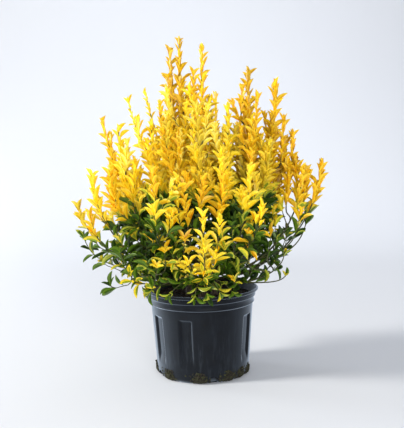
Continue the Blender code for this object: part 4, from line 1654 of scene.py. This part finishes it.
@dataclass
class Studio:
    """Pale sweep, soft light from the left, and the camera at the photo's angle."""

    distance: float = 1.44
    height: float = 0.4595
    aside: float = 0.0038
    pitch_deg: float = 4.85
    roll_deg: float = 1.2
    lens_mm: float = 57.4
    sweep_reach: float = 6.0
    sweep_depth: float = 1.7
    sweep_round: float = 2.6

    def build_sweep(self) -> None:
        """Make the floor that curves up into a backdrop."""
        count = 16
        turns = [math.radians(-90.0 + 90.0 * k / count) for k in range(count + 1)]
        line = [(-4.0, 0.0)]
        line += [(self.sweep_depth + self.sweep_round * math.cos(t),
                  self.sweep_round + self.sweep_round * math.sin(t)) for t in turns]
        line.append((self.sweep_depth + self.sweep_round, 5.0))
        shape = bmesh.new()
        points = [shape.verts.new((-self.sweep_reach, y, z)) for y, z in line]
        edges = [shape.edges.new(pair) for pair in zip(points, points[1:])]
        made = bmesh.ops.extrude_edge_only(shape, edges=edges)["geom"]
        moved = [item for item in made if isinstance(item, bmesh.types.BMVert)]
        bmesh.ops.translate(shape, vec=(2.0 * self.sweep_reach, 0.0, 0.0), verts=moved)
        bmesh.ops.recalc_face_normals(shape, faces=shape.faces)
        mesh = bpy.data.meshes.new("studio_sweep")
        shape.to_mesh(mesh)
        shape.free()
        mesh.shade_smooth()
        sweep = bpy.data.objects.new("studio_sweep", mesh)
        bpy.context.scene.collection.objects.link(sweep)
        material, shader = new_material("white_paper_sweep")
        shader.inputs["Base Color"].default_value = linear("#dee0e4")
        shader.inputs["Roughness"].default_value = 0.9
        mesh.materials.append(material)

    def add_light(self, name: str, place: tuple[float, float, float], size: float,
                  power: float, colour: str,
                  target: tuple[float, float, float] = (0.0, 0.0, 0.35)) -> None:
        """Add a soft square light that faces the plant, or else another target.

        Args:
            name: The light's name.
            place: Its position in metres.
            size: Its side in metres.
            power: Its power in watts.
            colour: Its hex colour.
            target: What it faces, in metres.
        """
        light = bpy.data.lights.new(name, "AREA")
        light.size = size
        light.energy = power
        light.color = linear(colour)[:3]
        lamp = bpy.data.objects.new(name, light)
        lamp.location = place
        aim = Vector(target) - Vector(place)
        lamp.rotation_euler = aim.to_track_quat("-Z", "Y").to_euler()
        bpy.context.scene.collection.objects.link(lamp)

    def build(self) -> None:
        """Build the sweep, the lights, the surrounding light and the camera."""
        self.build_sweep()
        self.add_light("soft_left", (-4.7, -0.95, 2.7), 1.1, 276.0, "#fffdf8")
        self.add_light("soft_front", (0.5, -3.4, 1.1), 1.8, 82.0, "#fdfdff")
        self.add_light("low_left", (-3.1, 1.6, 0.5), 1.0, 72.0, "#eef5ff")
        self.add_light("soft_right", (3.4, 2.2, 0.7), 1.3, 20.0, "#f8faff")
        self.add_light("wall_wash", (0.3, 1.9, 1.7), 1.3, 10.0, "#f4f8ff", (0.2, 4.3, 0.9))
        self.add_light("floor_wash", (1.0, 1.7, 1.6), 1.0, 3.4, "#f4f8ff", (0.75, 2.0, 0.0))
        world = bpy.data.worlds.new("studio_air")
        world.use_nodes = True
        air = world.node_tree.nodes["Background"]
        air.inputs["Color"].default_value = linear("#eaeff8")
        air.inputs["Strength"].default_value = 0.455
        scene = bpy.context.scene
        scene.world = world
        scene.view_settings.view_transform = "Standard"
        camera = bpy.data.cameras.new("camera")
        camera.lens = self.lens_mm
        camera.clip_end = 50.0
        eye = bpy.data.objects.new("camera", camera)
        turn = Matrix.Rotation(math.radians(90.0 - self.pitch_deg), 4, "X")
        turn = turn @ Matrix.Rotation(math.radians(-self.roll_deg), 4, "Z")
        eye.matrix_world = Matrix.Translation((self.aside, -self.distance, self.height)) @ turn
        scene.collection.objects.link(eye)
        scene.camera = eye


def main() -> None:
    """Build the pot, what fills it, the plant and the studio, in that order."""
    logging.basicConfig(level=logging.INFO, format="%(message)s")
    pot = NurseryPot()
    pot.build()
    GrowingMedium(pot).build()
    Moss(pot).build()
    Shrub(Habit(), pot).build()
    Studio().build()


if __name__ == "__main__":
    main()
